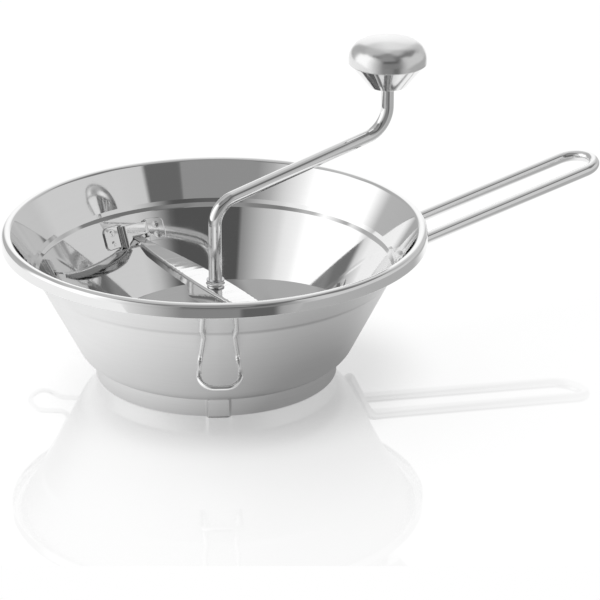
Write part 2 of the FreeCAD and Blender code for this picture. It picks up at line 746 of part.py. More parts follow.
def blade_hub():
    """The sleeve on the rod that carries the blade."""
    sleeve = ring("hub_sleeve", s.hub_radius, s.rod_radius, s.low_end, s.hub_top - s.low_end)
    return cut("blade_hub", sleeve, pin_hole("hub_pin_hole", s.hub_radius * 2))


def crank_rod():
    """One bent rod: shaft, two bends, arm, and a turned end that carries the knob."""
    knob_x = s.knob_x.value
    knob_y = s.knob_y.value
    path = [
        Vector(0, 0, s.low_end.value),
        Vector(0, 0, s.lower_bend_height.value),
        Vector(knob_x, knob_y, s.upper_bend_height.value),
        Vector(knob_x, knob_y, s.spigot_start.value),
    ]
    radii = [s.lower_bend_radius.value, s.upper_bend_radius.value]
    bent = shaped("bent_rod", bent_rod(path, radii, s.rod_radius))
    spigot = cylinder("spigot", s.spigot_radius, s.spigot_start,
                      s.sleeve_top + s.ring_height * 3 - s.spigot_start)
    whole = joined("plain_rod", bent, over_knob(spigot))
    grooves = joined(
        "rod_grooves",
        pin_hole("rod_pin_hole", s.hub_radius * 2),
        ring("ring_groove", s.rod_radius * 2, s.rod_radius - s.groove_depth,
             s.ring_bottom, s.ring_height),
        over_knob(ring("clip_groove", s.rod_radius, s.spigot_radius - s.groove_depth,
                       s.clip_bottom, s.ring_height)),
    )
    return cut("crank_rod", whole, grooves)


def pressure_spring():
    """The coil between the two washers."""
    bottom = s.hub_top + s.washer_gap * 2 + s.washer_sheet + s.spring_wire
    top = s.bar_under - s.washer_gap * 2 - s.washer_sheet - s.spring_wire
    helix = bind(
        doc.addObject("Part::Helix", "spring_line"),
        Height=top - bottom,
        Pitch=(top - bottom) / s.spring_turns,
        Radius=s.spring_radius,
    )
    helix.setExpression("Placement.Base.z", bottom.text)
    section = bind(doc.addObject("Part::Circle", "spring_section"), Radius=s.spring_wire)
    section.Placement = Placement(Vector(), Rotation(Vector(1, 0, 0), 90))
    section.setExpression("Placement.Base.x", s.spring_radius.text)
    section.setExpression("Placement.Base.z", bottom.text)
    spring = doc.addObject("Part::Sweep", "pressure_spring")
    spring.Sections = [section]
    spring.Spine = (helix, ["Edge1"])
    spring.Solid = True
    spring.Frenet = True
    return spring


def wire_handle():
    """One rod bent to a long loop, its two ends welded down the bowl's wall."""
    off_wall = s.handle_rod.value / math.cos(WALL_LEAN)
    half = s.handle_half_gap.value

    def along(height):
        radius = outer_radius(height).value + off_wall
        return math.sqrt(radius * radius - half * half)

    wall_height = s.handle_wall_height.value
    start = along(wall_height)
    end = s.handle_reach.value
    tip_height = wall_height + (end - start) * math.tan(math.radians(s.handle_rise.value))
    end_height = s.handle_end_height.value
    near = [
        Vector(along(end_height), -half, end_height),
        Vector(start, -half, wall_height),
        Vector(end, -half, tip_height),
    ]
    far = [Vector(point.x, -point.y, point.z) for point in reversed(near)]
    radii = [s.handle_bend.value, half, half, s.handle_bend.value]
    handle = shaped("wire_handle", bent_rod(near + far, radii, s.handle_rod))
    return turned(handle, s.handle_azimuth.value)


def wire_hook(name, azimuth):
    """A wire loop that hangs the mill on the edge of a pot."""
    droop = math.radians(s.hook_droop.value)
    nose = s.hook_half_width.value
    pinch = s.ledge_height.value
    spread = pinch + s.hook_spread.value

    def on_wall(radius, lean, half_width, height):
        """A point of the wire's centre line where it lies on the wall."""
        clear = radius.value + (s.hook_wire.value + s.seat_gap.value) / math.cos(lean)
        return Vector(math.sqrt(clear ** 2 - half_width ** 2), half_width, height)

    side = [
        on_wall(upper_radius(s.hook_top), UPPER_LEAN, s.hook_top_half.value, s.hook_top.value),
        on_wall(upper_radius(spread), UPPER_LEAN, s.hook_spread_half.value, spread),
        on_wall(upper_radius(pinch), UPPER_LEAN, s.hook_pinch_half.value, pinch),
        on_wall(outer_radius(s.hook_leave), WALL_LEAN, s.hook_leave_half.value, s.hook_leave.value),
        Vector(s.hook_reach.value, nose, s.hook_level.value),
        Vector(
            s.hook_reach.value + nose * math.cos(droop),
            nose,
            s.hook_level.value - nose * math.sin(droop),
        ),
    ]
    other = [Vector(point.x, -point.y, point.z) for point in reversed(side)]
    bends = [s.hook_bend.value] * 3 + [s.hook_bend.value * 2, s.hook_nose_bend.value]
    radii = bends + bends[::-1]
    return turned(shaped(name, bent_rod(side + other, radii, s.hook_wire)), azimuth)


def knob_dome():
    """The satin cap of the knob, hollow and open below: a flat crown and a rounded edge."""
    edge = s.knob_widest - s.dome_drop
    corner_middle = s.knob_radius - s.dome_corner
    crown = (
        (corner_middle * corner_middle + s.dome_rise * s.dome_rise - s.dome_corner * s.dome_corner)
        / ((s.dome_rise - s.dome_corner) * 2)
    )
    lean = (crown - s.dome_rise) / (crown - s.dome_corner)
    reach = corner_middle / (crown - s.dome_corner)

    def meeting(corner):
        """Where the crown's arc meets the edge's."""
        return corner_middle + corner * reach, s.knob_widest + corner * lean

    inside_radius = s.knob_radius - s.dome_wall
    inside_corner = s.dome_corner - s.dome_wall
    outer_x, outer_y = meeting(s.dome_corner)
    inner_x, inner_y = meeting(inside_corner)
    dome = revolved("knob_dome", [
        (0, s.knob_widest + s.dome_rise - s.dome_wall, s.dome_wall - crown),
        (inner_x, inner_y, -inside_corner),
        (inside_radius, s.knob_widest, None),
        (inside_radius, edge, None),
        (s.knob_radius - s.dome_wall / 4, edge, None),
        (s.knob_radius, s.knob_widest, s.dome_corner),
        (outer_x, outer_y, crown),
        (0, s.knob_widest + s.dome_rise, None),
    ])
    return over_knob(dome)


def knob_cone():
    """The polished cone under the dome, with a floor that the sleeve passes through."""
    top = s.knob_widest - s.dome_drop - s.washer_gap
    floor = s.knob_bottom + s.dome_wall
    hole = s.sleeve_radius + s.washer_gap
    cone = revolved("knob_cone", [
        (hole, s.knob_bottom, None),
        (s.cone_bottom_radius, s.knob_bottom, None),
        (s.cone_top_radius, top, None),
        (s.cone_top_radius - s.dome_wall, top, None),
        (s.cone_bottom_radius - s.dome_wall / 2, floor, None),
        (hole, floor, None),
    ])
    return over_knob(cone)


def knob_sleeve():
    """The sleeve that turns on the rod's end, with the disc that carries dome and cone."""
    disc_top = s.knob_widest - s.dome_drop + s.dome_drop / 2
    disc_radius = s.cone_top_radius - s.dome_wall * 1.5
    bore = s.spigot_radius + s.spigot_play
    foot = s.spigot_start + s.washer_gap
    sleeve = revolved("knob_sleeve", [
        (bore, foot, None),
        (s.rod_radius + s.spigot_play, foot, None),
        (s.rod_radius + s.spigot_play, s.knob_bottom, None),
        (s.sleeve_radius, s.knob_bottom, None),
        (s.sleeve_radius, disc_top - s.core_height, None),
        (disc_radius, disc_top - s.core_height, None),
        (disc_radius, disc_top, None),
        (s.sleeve_radius, disc_top, None),
        (s.sleeve_radius, s.sleeve_top, None),
        (bore, s.sleeve_top, None),
    ])
    return over_knob(sleeve)


def make_parts():
    """Every piece, in the order of assembly."""
    bar = s.bar_azimuth.value
    seat_bottom = s.hub_top + s.washer_gap
    under_bar = s.bar_under - s.washer_gap - s.washer_sheet
    bore = s.rod_radius + s.rod_play
    ring_outer = s.rod_radius + s.ring_width
    clip_outer = s.spigot_radius + s.ring_width
    return [
        bowl(),
        sieve_disc(),
        bracket("bracket_rear", bar),
        bracket("bracket_front", bar + 180),
        wire_handle(),
        wire_hook("front_hook", -90),
        wire_hook("rear_hook", 150),
        crossbar(),
        ring("spring_washer", s.washer_radius, bore, under_bar, s.washer_sheet),
        pressure_spring(),
        ring("spring_seat", s.washer_radius, bore, seat_bottom, s.washer_sheet),
        blade_hub(),
        press_blade(),
        pin_hole("hub_pin", s.hub_radius),
        crank_rod(),
        ring("retaining_ring", ring_outer, s.rod_radius - s.groove_depth, s.ring_bottom, s.ring_height),
        knob_dome(),
        knob_cone(),
        knob_sleeve(),
        over_knob(ring("knob_clip", clip_outer, s.spigot_radius - s.groove_depth,
                       s.clip_bottom, s.ring_height)),
    ]


def check(parts):
    """Stop if any object failed or any piece isn't a sound solid."""
    for thing in doc.Objects:
        if "Invalid" in thing.State or "Error" in thing.State:
            raise RuntimeError(f"{thing.Name} failed: {thing.State}")
    for part in parts:
        shape = part.Shape
        if shape.isNull() or not shape.isValid() or not shape.Solids:
            raise RuntimeError(f"{part.Label} is not a sound solid")


def export(parts):
    os.makedirs("parts", exist_ok=True)
    for part in parts:
        part.Shape.exportStep(f"parts/{part.Label}.step")
        print(f"{part.Label}: {len(part.Shape.Solids)} solid, {part.Shape.Volume:.0f} mm3")


parts = make_parts()
doc.recompute()
check(parts)
export(parts)
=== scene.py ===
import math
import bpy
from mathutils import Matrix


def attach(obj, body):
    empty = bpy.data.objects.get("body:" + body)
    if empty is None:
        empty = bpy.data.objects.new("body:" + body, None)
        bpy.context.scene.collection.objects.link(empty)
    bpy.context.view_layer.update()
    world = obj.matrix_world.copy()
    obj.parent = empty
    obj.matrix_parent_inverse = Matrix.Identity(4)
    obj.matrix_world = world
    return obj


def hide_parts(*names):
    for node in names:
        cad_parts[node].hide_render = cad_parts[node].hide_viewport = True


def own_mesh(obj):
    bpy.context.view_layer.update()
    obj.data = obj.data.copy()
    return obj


bl_info = {
    "name": "Food Mill",
    "version": (1, 0, 0),
    "blender": (4, 5, 0),
    "location": "View3D > Sidebar > Food Mill",
    "description": "Builds a steel food mill: bowl, sieve, crossbar, blade, crank, handle and hooks",
    "category": "Object",
}

from types import SimpleNamespace

import bmesh
import bpy
from bpy.props import FloatProperty, FloatVectorProperty, IntProperty, PointerProperty
from mathutils import Matrix, Vector

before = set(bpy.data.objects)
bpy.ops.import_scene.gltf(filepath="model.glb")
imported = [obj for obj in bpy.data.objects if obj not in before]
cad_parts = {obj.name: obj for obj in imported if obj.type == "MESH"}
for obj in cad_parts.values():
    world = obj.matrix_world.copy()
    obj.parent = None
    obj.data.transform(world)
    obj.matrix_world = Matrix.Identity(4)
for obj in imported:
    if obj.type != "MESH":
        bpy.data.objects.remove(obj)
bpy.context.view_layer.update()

MM = 0.001
ROOT_BODY = "bowl_body"


def size(name, description, millimetres):
    """A length that the user may change, in metres."""
    return FloatProperty(
        name=name, description=description, default=millimetres * MM, min=0.0, precision=4,
        subtype="DISTANCE", unit="LENGTH")


def angle(name, description, degrees):
    return FloatProperty(
        name=name, description=description, default=math.radians(degrees), subtype="ANGLE", unit="ROTATION")


def shade(name, description, colour):
    return FloatVectorProperty(
        name=name, description=description, default=colour, size=3, min=0.0, max=1.0, subtype="COLOR")


def share(name, description, value):
    return FloatProperty(
        name=name, description=description, default=value, min=0.0, max=1.0, subtype="FACTOR")


def number(name, description, value, least):
    return IntProperty(name=name, description=description, default=value, min=least)


class MillBowlSizes(bpy.types.PropertyGroup):
    """Sizes of the bowl."""

    rim_radius: size("Rim radius", "Outer radius of the rim's skirt", 126.0)
    rim_height: size("Rim height", "Height of the top of the rolled rim", 91.2)
    bead_radius: size("Roll radius", "Outer radius of the roll at the rim", 3.2)
    skirt_depth: size("Skirt depth", "Height of the skirt with its roll", 8.2)
    sheet: size("Sheet", "Thickness of the bowl's sheet", 1.0)
    wall_across: size("Wall thickness", "Thickness of the sloping wall, measured level", 1.1)
    upper_flare: size("Upper flare", "How far the wall widens above the ledge", 12.0)
    ledge_height: size("Ledge height", "Height of the step in the wall", 65.0)
    ledge_step: size("Ledge step", "How far the step widens the wall", 1.8)
    ledge_rise: size("Ledge rise", "Height of the step itself", 2.0)
    lower_flare: size("Lower flare", "How far the wall widens below the ledge", 23.1)
    shoulder_reach: size("Shoulder reach", "How far the shoulder stands out from the foot", 10.4)
    shoulder_rise: size("Shoulder rise", "Height of the shoulder", 8.6)
    shoulder_round: size("Shoulder rounding", "Radius of the shoulder's section", 16.6)
    foot_height: size("Foot height", "Height of the foot ring", 10.7)
    pocket_depth: size("Pocket depth", "How far the foot's pockets stand out", 2.3)
    pocket_width: size("Pocket width", "Width of a foot pocket", 13.5)
    ledge_outer_round: size("Outer ledge rounding", "Rounding of the ledge outside", 8.0)
    ledge_inner_round: size("Inner ledge rounding", "Rounding of the ledge inside", 0.6)
    crease_rise: size("Crease rise", "Height of the faint crease above the ledge inside", 2.4)
    crease_lean: angle("Crease lean", "Slope of the wall below the crease, from upright", 27.0)
    steps: number("Steps", "Facets round the bowl", 720, 48)


class MillSieveSizes(bpy.types.PropertyGroup):
    """Sizes of the sieve disc."""

    radius: size("Radius", "Rim radius of the sieve disc", 73.8)
    bottom: size("Height", "Height of the disc's underside", 12.6)
    sheet: size("Sheet", "Thickness of the disc", 1.0)
    tab_reach: size("Tab reach", "Radius of a tab's outer face", 73.1)
    tab_half: size("Tab half width", "Half width of a tab", 5.0)
    tab_depth: size("Tab depth", "How far a tab reaches down", 6.0)
    hole: size("Hole", "Diameter of a hole", 3.2)
    first_ring: size("First ring", "Radius of the innermost ring of holes", 14.0)
    ring_step: size("Ring step", "Distance between two rings of holes", 8.6)
    rings: number("Rings", "Rings of holes", 7, 1)
    first_count: number("First count", "Holes in the innermost ring", 8, 3)
    more_per_ring: number("More per ring", "Holes added from ring to ring", 6, 2)


class MillBridgeSizes(bpy.types.PropertyGroup):
    """Sizes of the crossbar, its brackets and its spring."""

    azimuth: angle("Direction", "Direction of the crossbar, from +X", 120.0)
    top: size("Top", "Height of the crossbar's top", 54.2)
    sheet: size("Sheet", "Thickness of crossbar and brackets", 1.2)
    reach: size("Reach", "Half length of the crossbar's leaf shape", 86.0)
    half_width: size("Half width", "Half width at the rod", 9.5)
    tip_half_width: size("Tip half width", "Half width at the ends of the leaf", 3.6)
    flange: size("Flange", "Depth of the flanges", 5.5)
    guard_reach: size("Guard reach", "Half length of the deeper middle of the flanges", 18.0)
    guard_depth: size("Guard depth", "Depth of the flanges round the rod", 11.5)
    tip_flange: size("Tip flange", "Depth of the flanges at the ends", 3.2)
    bar_bend: size("Bar bend", "Outer radius of the bend between top and flange", 2.0)
    rod_play: size("Rod play", "Clearance of the rod in the neck", 0.06)
    tongue_reach: size("Tongue reach", "Radius that the tongues reach", 96.6)
    tongue_half: size("Tongue half width", "Half width of a tongue", 3.0)
    neck_radius: size("Neck radius", "Outer radius of the drawn neck", 4.9)
    neck_rise: size("Neck rise", "Height of the neck above the crossbar", 2.0)
    bracket_bottom: size("Bracket bottom", "Height of the brackets' lower edge", 48.6)
    bracket_top: size("Bracket top", "Height of the brackets' upper edge", 61.4)
    bracket_width: size("Bracket width", "Width across both flanges", 42.0)
    bracket_pocket: size("Bracket pocket", "Width of the raised middle", 19.0)
    bracket_depth: size("Bracket depth", "Depth behind the raised middle", 4.4)
    bracket_corner: size("Bracket corner", "Rounding of the flanges' corners", 3.0)
    slot_play: size("Slot play", "Play of a tongue in its slot", 0.5)
    weld_mark: size("Weld mark", "Radius of a weld mark on the flanges", 1.7)
    weld_depth: size("Weld mark depth", "Depth of a weld mark", 0.45)
    seat_gap: size("Seat gap", "Gap between a welded piece and the wall", 0.05)
    spring_bottom: size("Spring bottom", "Height of the lower end of the coil's line", 39.9)
    spring_top: size("Spring top", "Height of the upper end of the coil's line", 51.1)
    spring_radius: size("Spring radius", "Radius of the coil's line", 6.4)
    spring_wire: size("Spring wire", "Radius of the spring's wire", 0.9)
    spring_turns: FloatProperty(name="Turns", description="Turns of the spring", default=4.5, min=1.0)


class MillBladeSizes(bpy.types.PropertyGroup):
    """Sizes of the pressing blade and its hub."""

    lead: angle("Leading end", "Direction of the blade's leading end", -65.0)
    trail: angle("Trailing end", "Direction of the blade's scraping end", 175.0)
    low: size("Low edge", "Height of the blade's upper face at the scraping end", 14.9)
    high: size("High edge", "Height of the blade's rim at the leading end", 39.9)
    high_inner: size("High inner edge", "Height of the blade's inner edge there", 32.9)
    sheet: size("Sheet", "Thickness of the blade", 1.0)
    wall_gap: size("Wall gap", "Gap between the blade and the bowl", 1.6)
    inner_radius: size("Inner radius", "Radius of the blade's inner edge", 6.6)
    hub_radius: size("Hub radius", "Outer radius of the hub", 6.5)
    hub_bottom: size("Hub bottom", "Height of the hub's lower face", 13.9)
    hub_top: size("Hub top", "Height of the hub's upper face", 38.0)


class MillWireSizes(bpy.types.PropertyGroup):
    """Sizes of the wire handle and the wire hooks."""

    handle_azimuth: angle("Handle direction", "Direction of the handle, from +X", 30.0)
    handle_rod: size("Handle rod", "Radius of the handle's rod", 3.5)
    handle_half_gap: size("Handle half gap", "Half the distance between the rods", 14.0)
    handle_reach: size("Handle reach", "Distance from the bowl's axis to the loop's end", 280.6)
    handle_rise: angle("Handle rise", "Slope of the handle", 9.5)
    handle_wall_height: size("Handle height", "Height at which the handle leaves the wall", 50.9)
    handle_end_height: size("Handle end", "Height of the rod ends on the wall", 20.5)
    handle_bend: size("Handle bend", "Radius of the bend at the wall", 10.0)
    hook_wire: size("Hook wire", "Radius of the hooks' wire", 1.5)
    seat_gap: size("Seat gap", "Gap between a welded wire and the wall", 0.05)
    hook_top_half: size("Hook ends", "Half the distance between the wires at their ends", 9.0)
    hook_spread: size("Spread height", "Height above the ledge at which the wires spread", 5.0)
    hook_spread_half: size("Spread", "Half the distance between the wires there", 9.7)
    hook_pinch_half: size("Pinch", "Half the distance between the wires at the ledge", 8.6)
    hook_leave_half: size("Leaving", "Half the distance between the wires where they leave the wall", 11.0)
    hook_top: size("Hook top", "Height of the wire's ends", 84.0)
    hook_leave: size("Hook height", "Height at which a hook leaves the wall", 44.6)
    hook_reach: size("Hook reach", "Radius at which a hook turns down", 120.0)
    hook_level: size("Hook level", "Height of the hook there", 48.3)
    hook_droop: angle("Hook droop", "Slope of the hook's nose", 24.3)
    hook_half_width: size("Hook half width", "Half width of the hook's nose", 11.6)
    hook_bend: size("Hook bend", "Radius of a hook's small bends", 4.0)
    hook_nose_bend: size("Nose bend", "Radius of the nose's corners", 9.0)


class MillCrankSizes(bpy.types.PropertyGroup):
    """Sizes of the crank rod."""

    radius: size("Rod radius", "Radius of the crank rod", 4.0)
    bottom: size("Rod bottom", "Height of the rod's lower end", 13.9)
    azimuth: angle("Direction", "Direction of the arm, from +X", 27.1)
    reach: size("Crank reach", "Distance from the bowl's axis to the knob's axis", 118.8)
    lower_corner: size("Lower corner", "Height of the corner above the bowl", 103.4)
    rise: angle("Arm rise", "Slope of the arm", 13.5)
    post: size("Post", "Height of the upright end above the arm's upper corner", 30.0)
    lower_bend: size("Lower bend", "Radius of the lower bend", 16.0)
    upper_bend: size("Upper bend", "Radius of the upper bend", 18.0)
    spigot_radius: size("Spigot radius", "Radius of the turned end", 3.0)
    spigot_length: size("Spigot length", "Length of the turned end", 18.1)


class MillKnobSizes(bpy.types.PropertyGroup):
    """Sizes of the knob."""

    radius: size("Radius", "Largest radius of the dome", 23.5)
    widest: size("Widest height", "Height of the dome's widest place", 175.521)
    rise: size("Dome rise", "Height of the dome above its widest place", 13.7)
    drop: size("Dome drop", "How far the dome reaches below it", 2.7)
    wall: size("Wall", "Thickness of the dome and of the cone", 1.2)
    cone_top: size("Cone top radius", "Radius of the cone at its top", 22.7)
    cone_bottom: size("Cone bottom radius", "Radius of the cone at its bottom", 11.0)
    bottom: size("Knob bottom", "Height of the knob's underside", 158.421)
    sleeve_radius: size("Sleeve radius", "Outer radius of the sleeve inside the knob", 6.0)
    corner: size("Dome corner", "Radius of the dome's rounded edge", 11.6)
    steps: number("Steps", "Facets round the knob", 160, 24)


class MillFinish(bpy.types.PropertyGroup):
    """Colours and polish of the steel."""

    mirror_colour: shade("Mirror steel", "Colour of the polished steel", (0.80, 0.80, 0.80))
    mirror_roughness: share("Mirror roughness", "Roughness of the polished steel", 0.045)
    satin_colour: shade("Satin steel", "Colour of the satin steel", (0.80, 0.80, 0.80))
    satin_roughness: share("Satin roughness", "Roughness of the satin steel", 0.36)
    dome_colour: shade("Dome steel", "Colour of the knob's dome", (0.76, 0.76, 0.76))
    dome_roughness: share("Dome roughness", "Roughness of the knob's dome", 0.22)
    spring_colour: shade("Spring steel", "Colour of the springs and clips", (0.55, 0.55, 0.56))
    spring_roughness: share("Spring roughness", "Roughness of the springs and clips", 0.22)


class MillStage(bpy.types.PropertyGroup):
    """Camera, floor and light."""

    turn: angle("Camera turn", "How far the object is turned towards the camera's left", 2.7)
    elevation: angle("Camera elevation", "Height of the camera above the horizon", 22.0)
    distance: size("Camera distance", "Distance from the camera to its target", 1700.0)
    target: FloatVectorProperty(
        name="Target", description="Point that the camera looks at, in the camera's own directions",
        default=(50.4 * MM, 0.0, 43.5 * MM), size=3, subtype="XYZ", unit="LENGTH")
    lens: FloatProperty(name="Lens", description="Focal length", default=170.7, min=1.0, unit="CAMERA")
    floor_front: size("Floor front", "How far the floor reaches towards the camera", 260.0)
    floor_colour: shade("Floor colour", "Colour of the floor", (0.9, 0.9, 0.9))
    floor_gloss: share("Floor gloss", "Share of the floor's reflection", 0.2)
    floor_white: share("Floor white", "Share of plain white by the foot, which no shadow dims", 0.45)
    lamp_power: FloatProperty(
        name="Lamp power", description="Strength of the lamp over the floor",
        default=2.4, min=0.0, unit="POWER")


# ---- node trees ----

def grow(tree, kind, inputs=None, **settings):
    """Add a node, then set or link its inputs by name or by number."""
    node = tree.nodes.new(kind)
    for name, value in settings.items():
        setattr(node, name, value)
    for key, value in (inputs or {}).items():
        socket = node.inputs[key]
        if isinstance(value, bpy.types.NodeSocket):
            tree.links.new(value, socket)
        else:
            socket.default_value = value
    return node


def maths(tree, operation, first, second=0.0):
    """One step of arithmetic."""
    return grow(tree, "ShaderNodeMath", {0: first, 1: second}, operation=operation).outputs[0]


def ramp(tree, value, span, ends, shape="LINEAR"):
    """A change between two values over a span."""
    return grow(tree, "ShaderNodeMapRange", {
        "Value": value, "From Min": span[0], "From Max": span[1], "To Min": ends[0], "To Max": ends[1],
    }, interpolation_type=shape).outputs[0]


def mixed(tree, share_of_second, first, second):
    """Between two values, by the share of the second."""
    return ramp(tree, share_of_second, (0.0, 1.0), (first, second))


def geometry_tree(name, inputs):
    """An empty geometry tree with a geometry input and output and the named sizes."""
    tree = bpy.data.node_groups.new(name, "GeometryNodeTree")
    tree.interface.new_socket("Geometry", in_out="INPUT", socket_type="NodeSocketGeometry")
    for label, kind in inputs:
        tree.interface.new_socket(label, in_out="INPUT", socket_type="NodeSocket" + kind)
    tree.interface.new_socket("Geometry", in_out="OUTPUT", socket_type="NodeSocketGeometry")
    return tree, tree.nodes.new("NodeGroupInput").outputs


def close_tree(tree, geometry, material):
    """End a tree in real geometry with its material."""
    real = grow(tree, "GeometryNodeRealizeInstances", {"Geometry": geometry})
    painted = grow(tree, "GeometryNodeSetMaterial", {"Geometry": real.outputs[0], "Material": material})
    grow(tree, "NodeGroupOutput", {"Geometry": painted.outputs[0]})


def grown(name, base, tree, values):
    """The plain mesh that a tree makes from a base mesh."""
    carrier = bpy.data.objects.new(name + "_carrier", base)
    bpy.context.scene.collection.objects.link(carrier)
    modifier = carrier.modifiers.new("Shape", "NODES")
    modifier.node_group = tree
    for item in tree.interface.items_tree:
        if item.in_out == "INPUT" and item.name in values:
            modifier[item.identifier] = values[item.name]
    bpy.context.view_layer.update()
    view = bpy.context.evaluated_depsgraph_get()
    mesh = bpy.data.meshes.new_from_object(carrier.evaluated_get(view), depsgraph=view)
    bpy.data.objects.remove(carrier)
    mesh.name = name
    return placed(name, mesh)


# ---- meshes ----

# Least distance between two points, in metres, the share of a side that a rounding may take,
# and the share of a step by which a line may be too long for its steps.
WELD_DISTANCE = 1e-7
ROUNDING_SHARE = 0.499
STEP_SLACK = 1e-6
# Edges sharper than this stay sharp, on most pieces and on bent or turned sheet, in degrees.
SHARP = 35.0
SHEET_SHARP = 40.0


def placed(name, mesh):
    """An object for a mesh, in the scene."""
    made = bpy.data.objects.new(name, mesh)
    bpy.context.scene.collection.objects.link(made)
    return made


def solid(name, points, faces, materials, sharp=SHARP, marks=None):
    """A mesh piece from points in millimetres, its faces turned outwards and smoothed.

    Marks give each face the place of its material among the materials.
    """
    mesh = bpy.data.meshes.new(name)
    mesh.from_pydata([Vector(point) * MM for point in points], [], faces)
    for material in materials:
        mesh.materials.append(material)
    if marks:
        mesh.polygons.foreach_set("material_index", marks)
    outward(mesh)
    soften(mesh, sharp)
    return placed(name, mesh)


def outward(mesh):
    """Close a mesh's seams and turn its faces outwards."""
    work = bmesh.new()
    work.from_mesh(mesh)
    bmesh.ops.remove_doubles(work, verts=work.verts, dist=WELD_DISTANCE)
    bmesh.ops.recalc_face_normals(work, faces=work.faces)
    work.to_mesh(mesh)
    work.free()


def soften(mesh, sharp=SHARP):
    """Smooth shading, except over edges sharper than the angle."""
    mesh.shade_smooth()
    mesh.set_sharp_from_angle(angle=math.radians(sharp))


def finish_piece(piece, body, slot, *nodes):
    """The piece rides with its body and stands for its CAD nodes; its flat faces shade flat."""
    shaped_by(piece, "WEIGHTED_NORMAL", keep_sharp=True)
    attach(piece, body)
    if nodes:
        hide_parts(*nodes)
    return piece


def swept(centre, ray, turn, steps):
    """Points of a ray's end while it turns about a centre."""
    points = []
    for step in range(steps + 1):
        spun = ray.copy()
        spun.rotate(Matrix.Rotation(turn * step / steps, 2))
        points.append(centre + spun)
    return points


def rounded(corners, arc_step=12.0, closed=True):
    """An outline from (x, y, rounding) corners, with a step of an arc in degrees."""
    outline = []
    count = len(corners)
    for index, (x, y, rounding) in enumerate(corners):
        corner = Vector((x, y))
        if rounding <= 0 or not (closed or 0 < index < count - 1):
            outline.append(corner)
            continue
        back = Vector(corners[index - 1][:2]) - corner
        ahead = Vector(corners[(index + 1) % count][:2]) - corner
        half = back.angle(ahead) / 2
        room = min(back.length, ahead.length) * ROUNDING_SHARE
        reach = min(rounding / math.tan(half), room)
        radius = reach * math.tan(half)
        middle = (back.normalized() + ahead.normalized()).normalized() * (radius / math.sin(half))
        start = back.normalized() * reach - middle
        end = ahead.normalized() * reach - middle
        turn = -start.angle_signed(end)
        steps = max(2, math.ceil(abs(math.degrees(turn)) / arc_step))
        outline += swept(corner + middle, start, turn, steps)
    return outline


def filled_in(line, longest):
    """An open line with points added wherever two are further apart than the longest step."""
    full = [line[0]]
    for start, end in zip(line, line[1:]):
        steps = max(1, math.ceil((end - start).length / longest - STEP_SLACK))
        full += [start.lerp(end, step / steps) for step in range(1, steps + 1)]
    return full


def arc(centre, radius, start, end, steps):
    """Points of an arc between two angles in degrees."""
    angles = [math.radians(start + (end - start) * step / steps) for step in range(steps + 1)]
    return [Vector((centre[0] + radius * math.cos(a), centre[1] + radius * math.sin(a))) for a in angles]


def arc_between(start, end, radius, steps):
    """Points of the shorter arc between two points, its centre on the left of the way."""
    start, end = Vector(start), Vector(end)
    chord = end - start
    left = Vector((-chord.y, chord.x)).normalized()
    centre = (start + end) / 2 + left * math.sqrt(radius ** 2 - chord.length_squared / 4)
    first = start - centre
    return swept(centre, first, -first.angle_signed(end - centre), steps)


def lathe(outline, steps, centre=(0.0, 0.0), shift=None):
    """Points and faces of a closed (radius, height) outline turned about a vertical axis.

    A shift moves a point's radius, from its place in the outline, its radius, height and azimuth.
    """
    points = []
    faces = []
    count = len(outline)
    for step in range(steps):
        azimuth = 2 * math.pi * step / steps
        along = math.cos(azimuth), math.sin(azimuth)
        for index, (radius, height) in enumerate(outline):
            if shift:
                radius = shift(index, radius, height, azimuth)
            points.append((centre[0] + radius * along[0], centre[1] + radius * along[1], height))
    for step in range(steps):
        here = step * count
        there = (step + 1) % steps * count
        for index in range(count):
            after = (index + 1) % count
            faces.append((here + index, there + index, there + after, here + after))
    return points, faces


def grid_faces(rows, columns, skip=None):
    """Quads of a grid of points stored row by row, without the skipped cells."""
    return [
        (row * columns + col, row * columns + col + 1,
         (row + 1) * columns + col + 1, (row + 1) * columns + col)
        for row in range(rows - 1)
        for col in range(columns - 1)
        if not (skip and skip(row, col))
    ]


def smooth_step(value):
    """A soft change from 0 to 1."""
    value = min(1.0, max(0.0, value))
    return value * value * (3 - 2 * value)


def millimetres(group):
    """A property group's lengths in millimetres and its angles in degrees, by name."""
    values = {}
    for key in group.bl_rna.properties.keys():
        if key in ("rna_type", "name"):
            continue
        value = getattr(group, key)
        kind = group.bl_rna.properties[key].subtype
        if kind == "DISTANCE":
            value = value / MM
        elif kind == "ANGLE":
            value = math.degrees(value)
        values[key] = value
    return SimpleNamespace(**values)


# ---- finishes ----

# The noises of a finish: the values that they mostly stay between, the size and detail of
# the clouds of polish, the detail of the streaks, how deep a streak is in metres, and how
# fast streaks that run round an axis change on their way round.
NOISE_SPAN = 0.3, 0.7
CLOUD_SCALE = 55.0
CLOUD_DETAIL = 3.0
STREAK_DETAIL = 4.0
STREAK_DEPTH = 0.00002
STREAKS_ROUND = 2.5


